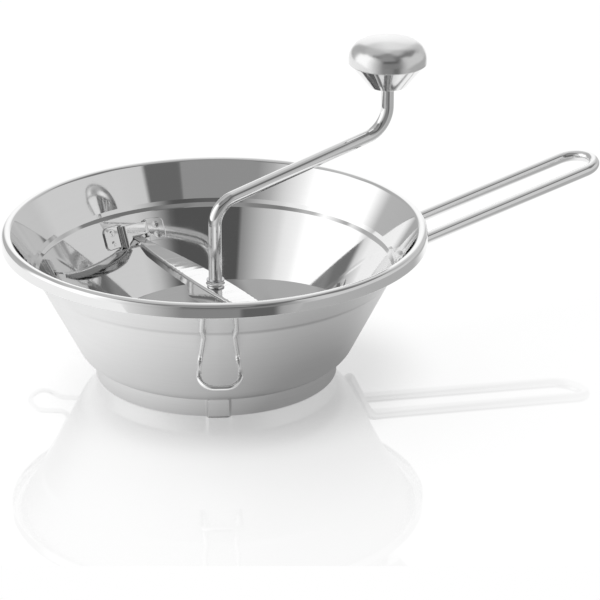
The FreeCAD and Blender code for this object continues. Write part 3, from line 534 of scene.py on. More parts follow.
def steel(name, colour, roughness, brushing, wear, grain):
    """Steel with a fine directional finish and small changes of polish.

    Brushing is how strongly the streaks show, wear how much the polish changes over
    the surface, and grain the three streak frequencies per metre.
    """
    material = bpy.data.materials.new(name)
    material.use_nodes = True
    tree = material.node_tree
    tree.nodes.clear()
    place = grow(tree, "ShaderNodeTexCoord").outputs["Object"]
    stretched = grow(tree, "ShaderNodeMapping", {"Vector": place, "Scale": grain}).outputs[0]
    streaks = grow(tree, "ShaderNodeTexNoise", {
        "Vector": stretched, "Scale": 1.0, "Detail": STREAK_DETAIL}).outputs["Fac"]
    clouds = grow(tree, "ShaderNodeTexNoise", {
        "Vector": place, "Scale": CLOUD_SCALE, "Detail": CLOUD_DETAIL}).outputs["Fac"]
    polish = ramp(tree, clouds, NOISE_SPAN, (roughness * (1 - wear), roughness * (1 + wear)))
    streaked = ramp(tree, streaks, NOISE_SPAN, (-brushing, brushing))
    rough = grow(tree, "ShaderNodeMath", {
        0: polish, 1: streaked}, operation="ADD", use_clamp=True).outputs[0]
    tone = ramp(tree, streaks, NOISE_SPAN, (1.0 - brushing, 1.0 + brushing))
    tinted = grow(tree, "ShaderNodeVectorMath", {
        0: tuple(colour), "Scale": tone}, operation="SCALE").outputs[0]
    bump = grow(tree, "ShaderNodeBump", {
        "Height": streaks, "Strength": brushing, "Distance": STREAK_DEPTH}).outputs[0]
    surface = grow(tree, "ShaderNodeBsdfPrincipled", {
        "Base Color": tinted, "Metallic": 1.0, "Roughness": rough, "Normal": bump,
    })
    grow(tree, "ShaderNodeOutputMaterial", {"Surface": surface.outputs[0]})
    return material


def turned_steel(name, colour, roughness, brushing, wear, pitch, centre):
    """Steel with streaks that run round a vertical axis."""
    material = steel(name, colour, roughness, brushing, wear, (1.0, 1.0, 1.0))
    tree = material.node_tree
    mapping = next(node for node in tree.nodes if node.bl_idname == "ShaderNodeMapping")
    streaks = mapping.outputs[0].links[0].to_node
    place = mapping.inputs["Vector"].links[0].from_socket
    moved = grow(tree, "ShaderNodeMapping", {
        "Vector": place, "Location": (-centre[0] * MM, -centre[1] * MM, 0)})
    parts = grow(tree, "ShaderNodeSeparateXYZ", {"Vector": moved.outputs[0]}).outputs
    flat = grow(tree, "ShaderNodeCombineXYZ", {"X": parts["X"], "Y": parts["Y"]}).outputs[0]
    radius = grow(tree, "ShaderNodeVectorMath", {0: flat}, operation="LENGTH").outputs["Value"]
    round_it = grow(tree, "ShaderNodeVectorMath", {0: flat}, operation="NORMALIZE").outputs[0]
    around = grow(tree, "ShaderNodeSeparateXYZ", {"Vector": round_it}).outputs
    across = maths(tree, "ADD", radius, parts["Z"])
    line = maths(tree, "MULTIPLY", across, pitch)
    where = grow(tree, "ShaderNodeCombineXYZ", {
        "X": maths(tree, "MULTIPLY", around["X"], STREAKS_ROUND),
        "Y": maths(tree, "MULTIPLY", around["Y"], STREAKS_ROUND),
        "Z": line,
    }).outputs[0]
    tree.links.new(where, streaks.inputs["Vector"])
    tree.nodes.remove(mapping)
    return material


# Each finish: its name, the look it takes, its roughness as a multiple of that look's, how
# strongly it is brushed, how much its polish changes, and the streaks per metre: three
# figures for a straight grain, one for streaks that run round an axis.
FINISH_TABLE = {
    "mirror": ("mirror_steel", "mirror", 1.0, 0.012, 0.35, (90.0, 90.0, 90.0)),
    "bowl_mirror": ("spun_mirror_steel", "mirror", 1.0, 0.006, 0.3, 700.0),
    "satin": ("spun_satin_steel", "satin", 1.0, 0.016, 0.08, 1500.0),
    "plate_round": ("satin_disc_steel", "satin", 1.0, 0.03, 0.1, 900.0),
    "disc": ("polished_disc_steel", "mirror", 1.5, 0.01, 0.3, 900.0),
    "plate": ("satin_plate_steel", "satin", 1.0, 0.03, 0.1, (1500.0, 60.0, 60.0)),
    "dome": ("satin_knob_steel", "dome", 1.0, 0.006, 0.08, 1800.0),
    "knob_mirror": ("spun_knob_steel", "mirror", 1.6, 0.02, 0.3, 1200.0),
    "spring": ("spring_steel", "spring", 1.0, 0.03, 0.2, (400.0, 400.0, 400.0)),
}
TURNED_ON_THE_KNOB = "dome", "knob_mirror"
FINISHES = {}


def make_finishes(look):
    """All the steels, from the finish settings."""
    for key, (name, kind, rougher, brushing, wear, grain) in FINISH_TABLE.items():
        colour = getattr(look, kind + "_colour")
        roughness = getattr(look, kind + "_roughness") * rougher
        if isinstance(grain, tuple):
            FINISHES[key] = steel(name, colour, roughness, brushing, wear, grain)
        else:
            centre = knob_axis() if key in TURNED_ON_THE_KNOB else (0.0, 0.0)
            FINISHES[key] = turned_steel(name, colour, roughness, brushing, wear, grain, centre)


# ---- the bowl's wall, which other pieces follow ----

class Wall:
    """Radii of the bowl at any height, in millimetres."""

    shoulder_steps = 14

    def __init__(self, bowl):
        self.bowl = bowl
        self.upper_foot = bowl.rim_radius - 2 * bowl.bead_radius - bowl.upper_flare
        self.ledge_radius = self.upper_foot - bowl.ledge_step
        self.ledge_top = bowl.ledge_height + bowl.ledge_rise
        self.shoulder_radius = self.ledge_radius - bowl.lower_flare
        self.shoulder_height = bowl.foot_height + bowl.shoulder_rise
        self.foot_radius = self.shoulder_radius - bowl.shoulder_reach
        self.slope = bowl.lower_flare / (bowl.ledge_height - self.shoulder_height)
        self.upper_slope = (bowl.upper_flare + bowl.sheet) / (
            bowl.rim_height - bowl.bead_radius - self.ledge_top)
        self.shoulder_arc = arc_between(
            (self.foot_radius - bowl.sheet, bowl.foot_height + bowl.sheet),
            (self.inner(self.shoulder_height), self.shoulder_height),
            bowl.shoulder_round - bowl.sheet, self.shoulder_steps,
        )

    def outer(self, height):
        """Outer radius below the ledge."""
        return self.shoulder_radius + (height - self.shoulder_height) * self.slope

    def inner(self, height):
        """Inner radius below the ledge."""
        return self.outer(height) - self.bowl.wall_across

    def upper(self, height):
        """Outer radius above the ledge."""
        return self.upper_foot + (height - self.ledge_top) * self.upper_slope

    def free(self, height):
        """Inner radius at any height up to the ledge."""
        if height >= self.shoulder_height:
            return self.inner(height)
        for low, high in zip(self.shoulder_arc, self.shoulder_arc[1:]):
            if low.y <= height <= high.y:
                return low.x + (high.x - low.x) * (height - low.y) / (high.y - low.y)
        return self.shoulder_arc[0].x


def the_wall():
    """The wall from the bowl's settings."""
    return Wall(millimetres(bpy.context.scene.mill_bowl))


def polar(radius, azimuth, height):
    """A point from its radius, its azimuth in degrees and its height."""
    turn = math.radians(azimuth)
    return Vector((radius * math.cos(turn), radius * math.sin(turn), height))


# Least distance between two points of a rod, in metres.
ROD_WELD = 2e-6


def rod_tree():
    """A rod of round section along a bent line.

    The line's points carry the radius of their bend and their girth, a share of the rod.
    """
    tree, inputs = geometry_tree("Bent rod", (
        ("Rod radius", "Float"), ("Sides", "Int"), ("Bend steps", "Int"), ("Steel", "Material")))
    bend = grow(tree, "GeometryNodeInputNamedAttribute", {"Name": "bend"}, data_type="FLOAT").outputs[0]
    girth = grow(tree, "GeometryNodeInputNamedAttribute", {"Name": "girth"}, data_type="FLOAT").outputs[0]
    line = grow(tree, "GeometryNodeMeshToCurve", {"Mesh": inputs["Geometry"]}).outputs[0]
    bent = grow(tree, "GeometryNodeFilletCurve", {
        "Curve": line, "Radius": bend, "Count": inputs["Bend steps"],
    }, mode="POLY").outputs[0]
    section = grow(tree, "GeometryNodeCurvePrimitiveCircle", {
        "Resolution": inputs["Sides"], "Radius": 1.0,
    }).outputs["Curve"]
    rod = grow(tree, "GeometryNodeCurveToMesh", {
        "Curve": bent, "Profile Curve": section, "Fill Caps": True,
        "Scale": maths(tree, "MULTIPLY", girth, inputs["Rod radius"]),
    }).outputs[0]
    clean = grow(tree, "GeometryNodeMergeByDistance", {"Geometry": rod, "Distance": ROD_WELD}).outputs[0]
    close_tree(tree, clean, inputs["Steel"])
    return tree


# A rod's rounded end: shares of its radius, along it from the tip and across it.
END_SHAPE = (0.0, 0.62), (0.1, 0.8), (0.3, 0.94), (0.6, 1.0)


def bent_rod(name, corners, bends, radius, material, sides=36, steps=20):
    """A rod through the corners, in millimetres, its two ends rounded."""
    points = [Vector(corner) for corner in corners]
    line = []
    for inwards in (1, -1):
        end, neighbour = (points[0], points[1]) if inwards == 1 else (points[-1], points[-2])
        along = (neighbour - end).normalized()
        line.append([(end + along * radius * reach, 0.0, girth) for reach, girth in END_SHAPE])
    middle = [(point, bend, 1.0) for point, bend in zip(points[1:-1], bends)]
    rows = line[0] + middle + line[1][::-1]
    mesh = bpy.data.meshes.new(name + "_line")
    mesh.from_pydata([row[0] * MM for row in rows], [(i, i + 1) for i in range(len(rows) - 1)], [])
    for label, column, scale in (("bend", 1, MM), ("girth", 2, 1.0)):
        attribute = mesh.attributes.new(label, "FLOAT", "POINT")
        attribute.data.foreach_set("value", [row[column] * scale for row in rows])
    tree = bpy.data.node_groups.get("Bent rod") or rod_tree()
    rod = grown(name, mesh, tree, {
        "Rod radius": radius * MM, "Sides": sides, "Bend steps": steps, "Steel": material,
    })
    outward(rod.data)
    soften(rod.data)
    return rod


def mirrored(side):
    """A symmetrical rod's corners: one side, then the same mirrored in the X axis's plane."""
    return side + [Vector((point.x, -point.y, point.z)) for point in reversed(side)]


def turned(points, azimuth):
    """Points turned about the bowl's axis."""
    spin = Matrix.Rotation(math.radians(azimuth), 3, "Z")
    return [spin @ Vector(point) for point in points]


def shaped_by(piece, kind, **settings):
    """The piece's mesh after one modifier, as a plain mesh."""
    modifier = piece.modifiers.new(kind.title(), kind)
    for name, value in settings.items():
        setattr(modifier, name, value)
    bpy.context.view_layer.update()
    view = bpy.context.evaluated_depsgraph_get()
    mesh = bpy.data.meshes.new_from_object(piece.evaluated_get(view), depsgraph=view)
    piece.modifiers.clear()
    old = piece.data
    name = old.name
    piece.data = mesh
    bpy.data.meshes.remove(old)
    mesh.name = name
    return piece


def merged(name, *pieces):
    """Several meshes as one piece."""
    work = bmesh.new()
    materials = []
    for piece in pieces:
        start = len(work.faces)
        work.from_mesh(piece.data)
        work.faces.ensure_lookup_table()
        own = list(piece.data.materials)
        for face in work.faces[start:]:
            material = own[face.material_index]
            if material not in materials:
                materials.append(material)
            face.material_index = materials.index(material)
    mesh = bpy.data.meshes.new(name)
    for material in materials:
        mesh.materials.append(material)
    work.to_mesh(mesh)
    work.free()
    for piece in pieces:
        bpy.data.objects.remove(piece)
    return placed(name, mesh)


def knob_axis():
    """Where the knob's axis stands, in millimetres."""
    crank = millimetres(bpy.context.scene.mill_crank)
    return tuple(polar(crank.reach, crank.azimuth, 0)[:2])


def require_finishes():
    """The steels, or an error when they aren't made yet."""
    if not FINISHES:
        raise RuntimeError("make the finishes first")
    return FINISHES


class MILL_OT_finishes(bpy.types.Operator):
    """Make the steel finishes"""

    bl_idname = "mill.finishes"
    bl_label = "Finishes"
    bl_options = {"REGISTER", "UNDO"}

    def execute(self, context):
        make_finishes(context.scene.mill_finish)
        return {"FINISHED"}


# Directions of the foot's pockets, in degrees. A pocket's upper corners are rounded, it
# starts to close below the foot's top and is closed above it, and its sides slope.
POCKET_PLACES = -90.0, 30.0, 150.0
POCKET_ROUND = 3.0
POCKET_LOWERED = 1.2
POCKET_CLOSED = 3.2
POCKET_SIDE = 1.6
# Roundings of the bowl's outline, in millimetres. The ledge's lower rounding inside is a
# multiple of its upper one.
FOOT_EDGE = 0.3
FOOT_CORNER_OUTSIDE = 0.9
FOOT_CORNER_INSIDE = 0.8
WALL_FOOT = 3.0
SKIRT_EDGE = 0.35
CREASE_ROUND = 1.0
LEDGE_FOOT_TIMES = 5
# Facets up the foot, of the shoulder and of the rim's two rolls, and degrees for each facet
# of a rounding.
FOOT_ROWS = 9
SHOULDER_STEPS = 16
INNER_ROLL_STEPS = 12
OUTER_ROLL_STEPS = 28
OUTLINE_STEP = 5.0


class MILL_OT_bowl(bpy.types.Operator):
    """Spin the bowl with its rolled rim, ledge, shoulder and foot pockets"""

    bl_idname = "mill.bowl"
    bl_label = "Bowl"
    bl_options = {"REGISTER", "UNDO"}

    def execute(self, context):
        finishes = require_finishes()
        bowl = millimetres(context.scene.mill_bowl)
        wall = Wall(bowl)
        roll = bowl.rim_radius - bowl.bead_radius, bowl.rim_height - bowl.bead_radius
        skirt = bowl.rim_height - bowl.skirt_depth
        foot_inside = wall.foot_radius - bowl.sheet
        foot_rows = [bowl.foot_height * step / FOOT_ROWS for step in range(1, FOOT_ROWS)]
        shoulder = arc_between(
            (wall.foot_radius, bowl.foot_height), (wall.shoulder_radius, wall.shoulder_height),
            bowl.shoulder_round, SHOULDER_STEPS,
        )
        ledge = Vector((wall.upper_foot - bowl.wall_across, wall.ledge_top))
        crease = ledge + Vector((math.tan(math.radians(bowl.crease_lean)), 1.0)) * bowl.crease_rise
        away = Vector(roll) - crease
        lean = math.degrees(math.atan2(away.x, away.y) - math.asin(bowl.bead_radius / away.length))
        inner_roll = arc(roll, bowl.bead_radius - bowl.sheet, 180, 0, INNER_ROLL_STEPS)
        outer_roll = arc(roll, bowl.bead_radius, 0, 180 - lean, OUTER_ROLL_STEPS)
        outside = [
            (foot_inside, 0, FOOT_EDGE),
            (wall.foot_radius, 0, FOOT_EDGE),
            *((wall.foot_radius, height, 0) for height in foot_rows),
            (wall.foot_radius, bowl.foot_height, FOOT_CORNER_OUTSIDE),
            *((*point, 0) for point in shoulder[1:-1]),
            (wall.shoulder_radius, wall.shoulder_height, WALL_FOOT),
            (wall.ledge_radius, bowl.ledge_height, bowl.ledge_outer_round),
            (wall.upper_foot, wall.ledge_top, bowl.ledge_outer_round),
        ]
        rim = [
            *((*point, 0) for point in inner_roll),
            (bowl.rim_radius - bowl.sheet, skirt, SKIRT_EDGE),
            (bowl.rim_radius, skirt, SKIRT_EDGE),
            *((*point, 0) for point in outer_roll),
        ]
        inside = [
            (*crease, CREASE_ROUND),
            (*ledge, bowl.ledge_inner_round),
            (wall.inner(bowl.ledge_height), bowl.ledge_height, LEDGE_FOOT_TIMES * bowl.ledge_inner_round),
            (wall.inner(wall.shoulder_height), wall.shoulder_height, WALL_FOOT),
            *((*point, 0) for point in reversed(wall.shoulder_arc[1:-1])),
            (foot_inside, bowl.foot_height + bowl.sheet, FOOT_CORNER_INSIDE),
            *((foot_inside, height, 0) for height in reversed(foot_rows)),
        ]
        outline = rounded(outside + rim + inside, OUTLINE_STEP)

        def place_of(point):
            return min(range(len(outline)), key=lambda index: (outline[index] - point).length)

        rim_start = place_of(inner_roll[0])
        inside_start = place_of(outer_roll[-1])

        def shift(index, radius, height, azimuth):
            """Push the foot out where a pocket is."""
            reach = wall.foot_radius + bowl.pocket_depth - (bowl.sheet if index > inside_start else 0.0)
            above = height - bowl.foot_height + POCKET_LOWERED
            if radius >= reach or above > POCKET_CLOSED:
                return radius
            away = min(
                abs(math.remainder(azimuth - math.radians(place), 2 * math.pi)) for place in POCKET_PLACES)
            level = min(POCKET_ROUND, max(0.0, above))
            half = bowl.pocket_width / 2 - POCKET_ROUND + math.sqrt(POCKET_ROUND ** 2 - level ** 2)
            bulge = smooth_step((half - away * reach) / POCKET_SIDE + 0.5)
            return radius + (reach - radius) * bulge

        points, faces = lathe(outline, bowl.steps, shift=shift)
        count = len(outline)
        marks = [0 if number % count >= rim_start else 1 for number in range(len(faces))]
        steels = finishes["bowl_mirror"], finishes["satin"]
        shell = solid("bowl_shell", points, faces, steels, SHEET_SHARP, marks)
        finish_piece(shell, ROOT_BODY, "polished_steel", "bowl")
        return {"FINISHED"}


# Facets of a hole and of the disc's rim, the bevel of a tab in millimetres, and the least
# distance between two points of the disc in metres.
HOLE_SIDES = 20
PLATE_SIDES = 180
TAB_EDGE = 0.3
PLATE_WELD = 1e-6
# Added to a hole's number, so that a ring's first hole isn't counted to the ring before.
NUMBER_SLACK = 0.01
# How far a piece's parts reach into one another, in millimetres.
OVERLAP = 0.02


def perforated_tree():
    """A round plate with rings of holes; every ring has the same number of holes more."""
    tree, inputs = geometry_tree("Perforated plate", (
        ("Plate radius", "Float"), ("Plate sheet", "Float"), ("Plate bottom", "Float"),
        ("Hole radius", "Float"), ("First ring", "Float"), ("Ring step", "Float"), ("Rings", "Int"),
        ("First count", "Int"), ("More per ring", "Int"), ("Steel", "Material")))

    def calc(operation, first, second=0.0):
        return maths(tree, operation, first, second)

    first, more, rings = inputs["First count"], inputs["More per ring"], inputs["Rings"]
    start = calc("SUBTRACT", first, calc("MULTIPLY", more, 0.5))
    pairs = calc("MULTIPLY", calc("MULTIPLY", rings, rings), calc("MULTIPLY", more, 0.5))
    total = calc("ADD", calc("MULTIPLY", rings, start), pairs)
    dots = grow(tree, "GeometryNodePoints", {"Count": total}).outputs[0]
    index = grow(tree, "GeometryNodeInputIndex").outputs[0]
    added = calc("MULTIPLY", calc("MULTIPLY", more, 2.0), calc("ADD", index, NUMBER_SLACK))
    square = calc("SQRT", calc("ADD", calc("MULTIPLY", start, start), added))
    ring = calc("FLOOR", calc("DIVIDE", calc("SUBTRACT", square, start), more))
    before = calc("ADD", calc("MULTIPLY", ring, start), calc(
        "MULTIPLY", calc("MULTIPLY", ring, ring), calc("MULTIPLY", more, 0.5)))
    count = calc("ADD", first, calc("MULTIPLY", ring, more))
    turn = calc("MULTIPLY", calc("DIVIDE", calc("SUBTRACT", index, before), count), 2 * math.pi)
    radius = calc("ADD", inputs["First ring"], calc("MULTIPLY", ring, inputs["Ring step"]))
    spot = grow(tree, "ShaderNodeCombineXYZ", {
        "X": calc("MULTIPLY", radius, calc("COSINE", turn)),
        "Y": calc("MULTIPLY", radius, calc("SINE", turn)),
    }).outputs[0]
    spread = grow(tree, "GeometryNodeSetPosition", {"Geometry": dots, "Position": spot}).outputs[0]
    hole = grow(tree, "GeometryNodeCurvePrimitiveCircle", {
        "Resolution": HOLE_SIDES, "Radius": inputs["Hole radius"],
    }).outputs["Curve"]
    holes = grow(tree, "GeometryNodeInstanceOnPoints", {"Points": spread, "Instance": hole}).outputs[0]
    edge = grow(tree, "GeometryNodeCurvePrimitiveCircle", {
        "Resolution": PLATE_SIDES, "Radius": inputs["Plate radius"],
    }).outputs["Curve"]
    lines = grow(tree, "GeometryNodeJoinGeometry")
    for curve in (holes, edge):
        tree.links.new(curve, lines.inputs[0])
    flat = grow(tree, "GeometryNodeRealizeInstances", {"Geometry": lines.outputs[0]}).outputs[0]
    face = grow(tree, "GeometryNodeFillCurve", {"Curve": flat}, mode="TRIANGLES").outputs[0]
    low = grow(tree, "ShaderNodeCombineXYZ", {"Z": inputs["Plate bottom"]}).outputs[0]
    under = grow(tree, "GeometryNodeSetPosition", {"Geometry": face, "Offset": low}).outputs[0]
    up = grow(tree, "ShaderNodeCombineXYZ", {"Z": inputs["Plate sheet"]}).outputs[0]
    raised = grow(tree, "GeometryNodeExtrudeMesh", {
        "Mesh": under, "Offset": up, "Individual": False}).outputs[0]
    both = grow(tree, "GeometryNodeJoinGeometry")
    back = grow(tree, "GeometryNodeFlipFaces", {"Mesh": under}).outputs[0]
    for part in (raised, back):
        tree.links.new(part, both.inputs[0])
    closed = grow(tree, "GeometryNodeMergeByDistance", {
        "Geometry": both.outputs[0], "Distance": PLATE_WELD}).outputs[0]
    close_tree(tree, closed, inputs["Steel"])
    return tree


BEVEL_SEGMENTS = 2
# Edges sharper than this are bevelled, on a block and on bent sheet, in degrees.
BLOCK_SHARP = 30.0
BENT_SHARP = 60.0


def bevelled(piece, width, sharp):
    """The piece with its sharp edges cut back."""
    return shaped_by(
        piece, "BEVEL", width=width * MM, segments=BEVEL_SEGMENTS, limit_method="ANGLE",
        angle_limit=math.radians(sharp))


def block(name, corners, bottom, top, material, bevel):
    """An upright block on a flat outline, its edges rounded."""
    count = len(corners)
    points = [(x, y, height) for height in (bottom, top) for x, y in corners]
    faces = [tuple(range(count)), tuple(range(count, 2 * count))]
    faces += [(i, (i + 1) % count, count + (i + 1) % count, count + i) for i in range(count)]
    made = solid(name, points, faces, (material,))
    bevelled(made, bevel, BLOCK_SHARP)
    soften(made.data)
    return made


class MILL_OT_sieve(bpy.types.Operator):
    """Punch the sieve disc and bend its three tabs down"""

    bl_idname = "mill.sieve"
    bl_label = "Sieve disc"
    bl_options = {"REGISTER", "UNDO"}

    def execute(self, context):
        steel_sheet = require_finishes()["disc"]
        sieve = context.scene.mill_sieve
        base = bpy.data.meshes.new("sieve_base")
        plate = grown("sieve_plate", base, perforated_tree(), {
            "Plate radius": sieve.radius, "Plate sheet": sieve.sheet, "Plate bottom": sieve.bottom,
            "Hole radius": sieve.hole / 2, "First ring": sieve.first_ring, "Ring step": sieve.ring_step,
            "Rings": sieve.rings, "First count": sieve.first_count, "More per ring": sieve.more_per_ring,
            "Steel": steel_sheet,
        })
        if len(plate.data.polygons) < sieve.rings * sieve.first_count:
            raise RuntimeError("the sieve's holes failed")
        outward(plate.data)
        soften(plate.data)
        disc = millimetres(sieve)
        tabs = []
        for place in POCKET_PLACES:
            corners = [
                (disc.tab_reach - disc.sheet, -disc.tab_half), (disc.tab_reach, -disc.tab_half),
                (disc.tab_reach, disc.tab_half), (disc.tab_reach - disc.sheet, disc.tab_half)]
            corners = [tuple(turned([(x, y, 0)], place)[0][:2]) for x, y in corners]
            tabs.append(block(
                "sieve_tab", corners, disc.bottom - disc.tab_depth, disc.bottom + OVERLAP,
                steel_sheet, TAB_EDGE))
        whole = merged("sieve_plate_and_tabs", plate, *tabs)
        soften(whole.data)
        finish_piece(whole, ROOT_BODY, "satin_steel", "sieve_disc")
        return {"FINISHED"}


# A bracket's strap, in millimetres and degrees: roundings at the raised middle's foot and at
# its top, degrees of a rounding per facet, facets along the strap and up it, how far the
# raised middle's foot reaches, least height of a slotted place and the bevel of its edges.
STRAP_LOW_ROUND = 1.4
STRAP_HIGH_ROUND = 3.4
STRAP_ARC_STEP = 10.0
STRAP_STEP = 0.7
STRAP_ROW = 0.6
STRAP_ROOT = 3.0
STRAP_RAISED = 1.8
STRAP_EDGE = 0.25
# Places of the weld marks, as shares of a flange's width and height.
MARK_ACROSS = 0.53
MARK_HEIGHTS = 0.27, 0.73


class MILL_OT_brackets(bpy.types.Operator):
    """Press the two brackets that hold the crossbar"""

    bl_idname = "mill.brackets"
    bl_label = "Brackets"
    bl_options = {"REGISTER", "UNDO"}

    def execute(self, context):
        bridge = millimetres(context.scene.mill_bridge)
        for name, turn in (("rear", 0.0), ("front", 180.0)):
            strap = self.strap(bridge, bridge.azimuth + turn, "bracket_strap_" + name)
            finish_piece(strap, ROOT_BODY, "polished_steel", "bracket_" + name)
        return {"FINISHED"}

    def strap(self, bridge, azimuth, name):
        """A strap that lies on the wall, its middle raised and slotted for the tongue."""
        wall = the_wall()
        half = (bridge.bracket_pocket - bridge.sheet) / 2
        end = bridge.bracket_width / 2
        low = bridge.seat_gap + bridge.sheet / 2
        high = low + bridge.bracket_depth
        slot_end = bridge.tongue_half + bridge.slot_play
        line = filled_in(rounded([
            (-end, low, 0), (-half, low, STRAP_LOW_ROUND), (-half, high, STRAP_HIGH_ROUND),
            (slot_end, high, 0), (half, high, STRAP_HIGH_ROUND), (half, low, STRAP_LOW_ROUND), (end, low, 0),
        ], STRAP_ARC_STEP, closed=False), STRAP_STEP)
        bottom, top = bridge.bracket_bottom, bridge.bracket_top
        slot = bridge.top - bridge.sheet - bridge.slot_play, bridge.top + bridge.slot_play
        levels = [Vector((0, level)) for level in (bottom, *slot, top)]
        heights = [point.y for point in filled_in(levels, STRAP_ROW)]
        root = half + STRAP_ROOT
        points = []
        for height in heights:
            corner = bridge.bracket_corner
            beyond = max(0.0, corner - min(height - bottom, top - height))
            reach = end - corner + math.sqrt(max(0.0, corner ** 2 - beyond ** 2))
            for s, inset in line:
                if abs(s) > root:
                    s = math.copysign(root + (abs(s) - root) * (reach - root) / (end - root), s)
                radius = wall.inner(height) - inset
                points.append((math.sqrt(radius ** 2 - s ** 2), s, height))

        def slotted(row, column):
            start, after = line[column], line[column + 1]
            open_rows = slot[0] - OVERLAP <= heights[row] and heights[row + 1] <= slot[1] + OVERLAP
            raised = max(start.y, after.y) > low + STRAP_RAISED
            return open_rows and raised and start.lerp(after, 0.5).x < slot_end

        faces = grid_faces(len(heights), len(line), slotted)
        strap = solid(name, points, faces, (require_finishes()["mirror"],))
        shaped_by(strap, "SOLIDIFY", thickness=bridge.sheet * MM, offset=0.0, use_even_offset=True)
        bevelled(strap, STRAP_EDGE, BENT_SHARP)
        for vertex in strap.data.vertices:
            x, s, height = vertex.co / MM
            inset = wall.inner(height) - math.hypot(x, s)
            depth = self.mark_depth(bridge, s, height) if inset > low else 0.0
            vertex.co = Vector(turned([(x + depth, s, height)], azimuth)[0]) * MM
        outward(strap.data)
        soften(strap.data, SHEET_SHARP)
        return strap

    def mark_depth(self, bridge, s, height):
        """Depth of the weld marks, two on each flange."""
        across = bridge.bracket_pocket / 2 + MARK_ACROSS * (bridge.bracket_width - bridge.bracket_pocket) / 2
        tall = bridge.bracket_top - bridge.bracket_bottom
        spots = [Vector((across, bridge.bracket_bottom + tall * part)) for part in MARK_HEIGHTS]
        away = min((Vector((abs(s), height)) - spot).length for spot in spots)
        return bridge.weld_depth * smooth_step(1.0 - away / bridge.weld_mark)


def ring_of(name, outline, material, centre=(0.0, 0.0), steps=96, sharp=SHARP):
    """A turned piece from its closed (radius, height) outline, seams and poles closed."""
    points, faces = lathe(outline, steps, centre)
    return solid(name, points, faces, (material,), sharp)


# The crossbar, in millimetres: half the length of its bore's cutter, how far the neck's foot
# spreads below and above the sheet, roundings of the neck's foot, outer edge and bore.
CUTTER_HALF = 8.0
NECK_SPREAD_BELOW = 2.0
NECK_SPREAD_ABOVE = 2.2
NECK_FOOT_ROUND = 1.5
NECK_EDGE = 0.25
NECK_BORE_EDGE = 0.15
# Its channel: sections along half of it, closer ones where the flanges get deeper, the
# lengths over which they do and over which they get shallower at the ends, their edges,
# how many thicknesses the inner bend is tighter than the outer one, and degrees of a bend
# for each facet. Its tongues: overlap, corners and edges.
CHANNEL_STEPS = 60
FINE_STEPS = 13
FINE_STEP = 0.5
FINE_BEFORE = 4.0
GUARD_FADE = 2.6
TIP_FADE = 14.0
FLANGE_EDGE = 0.3
INNER_BEND_SHARE = 0.6
CHANNEL_ARC_STEP = 15.0
TONGUE_ROOT = 0.4
TONGUE_CORNER = 1.2
TONGUE_EDGE = 0.2


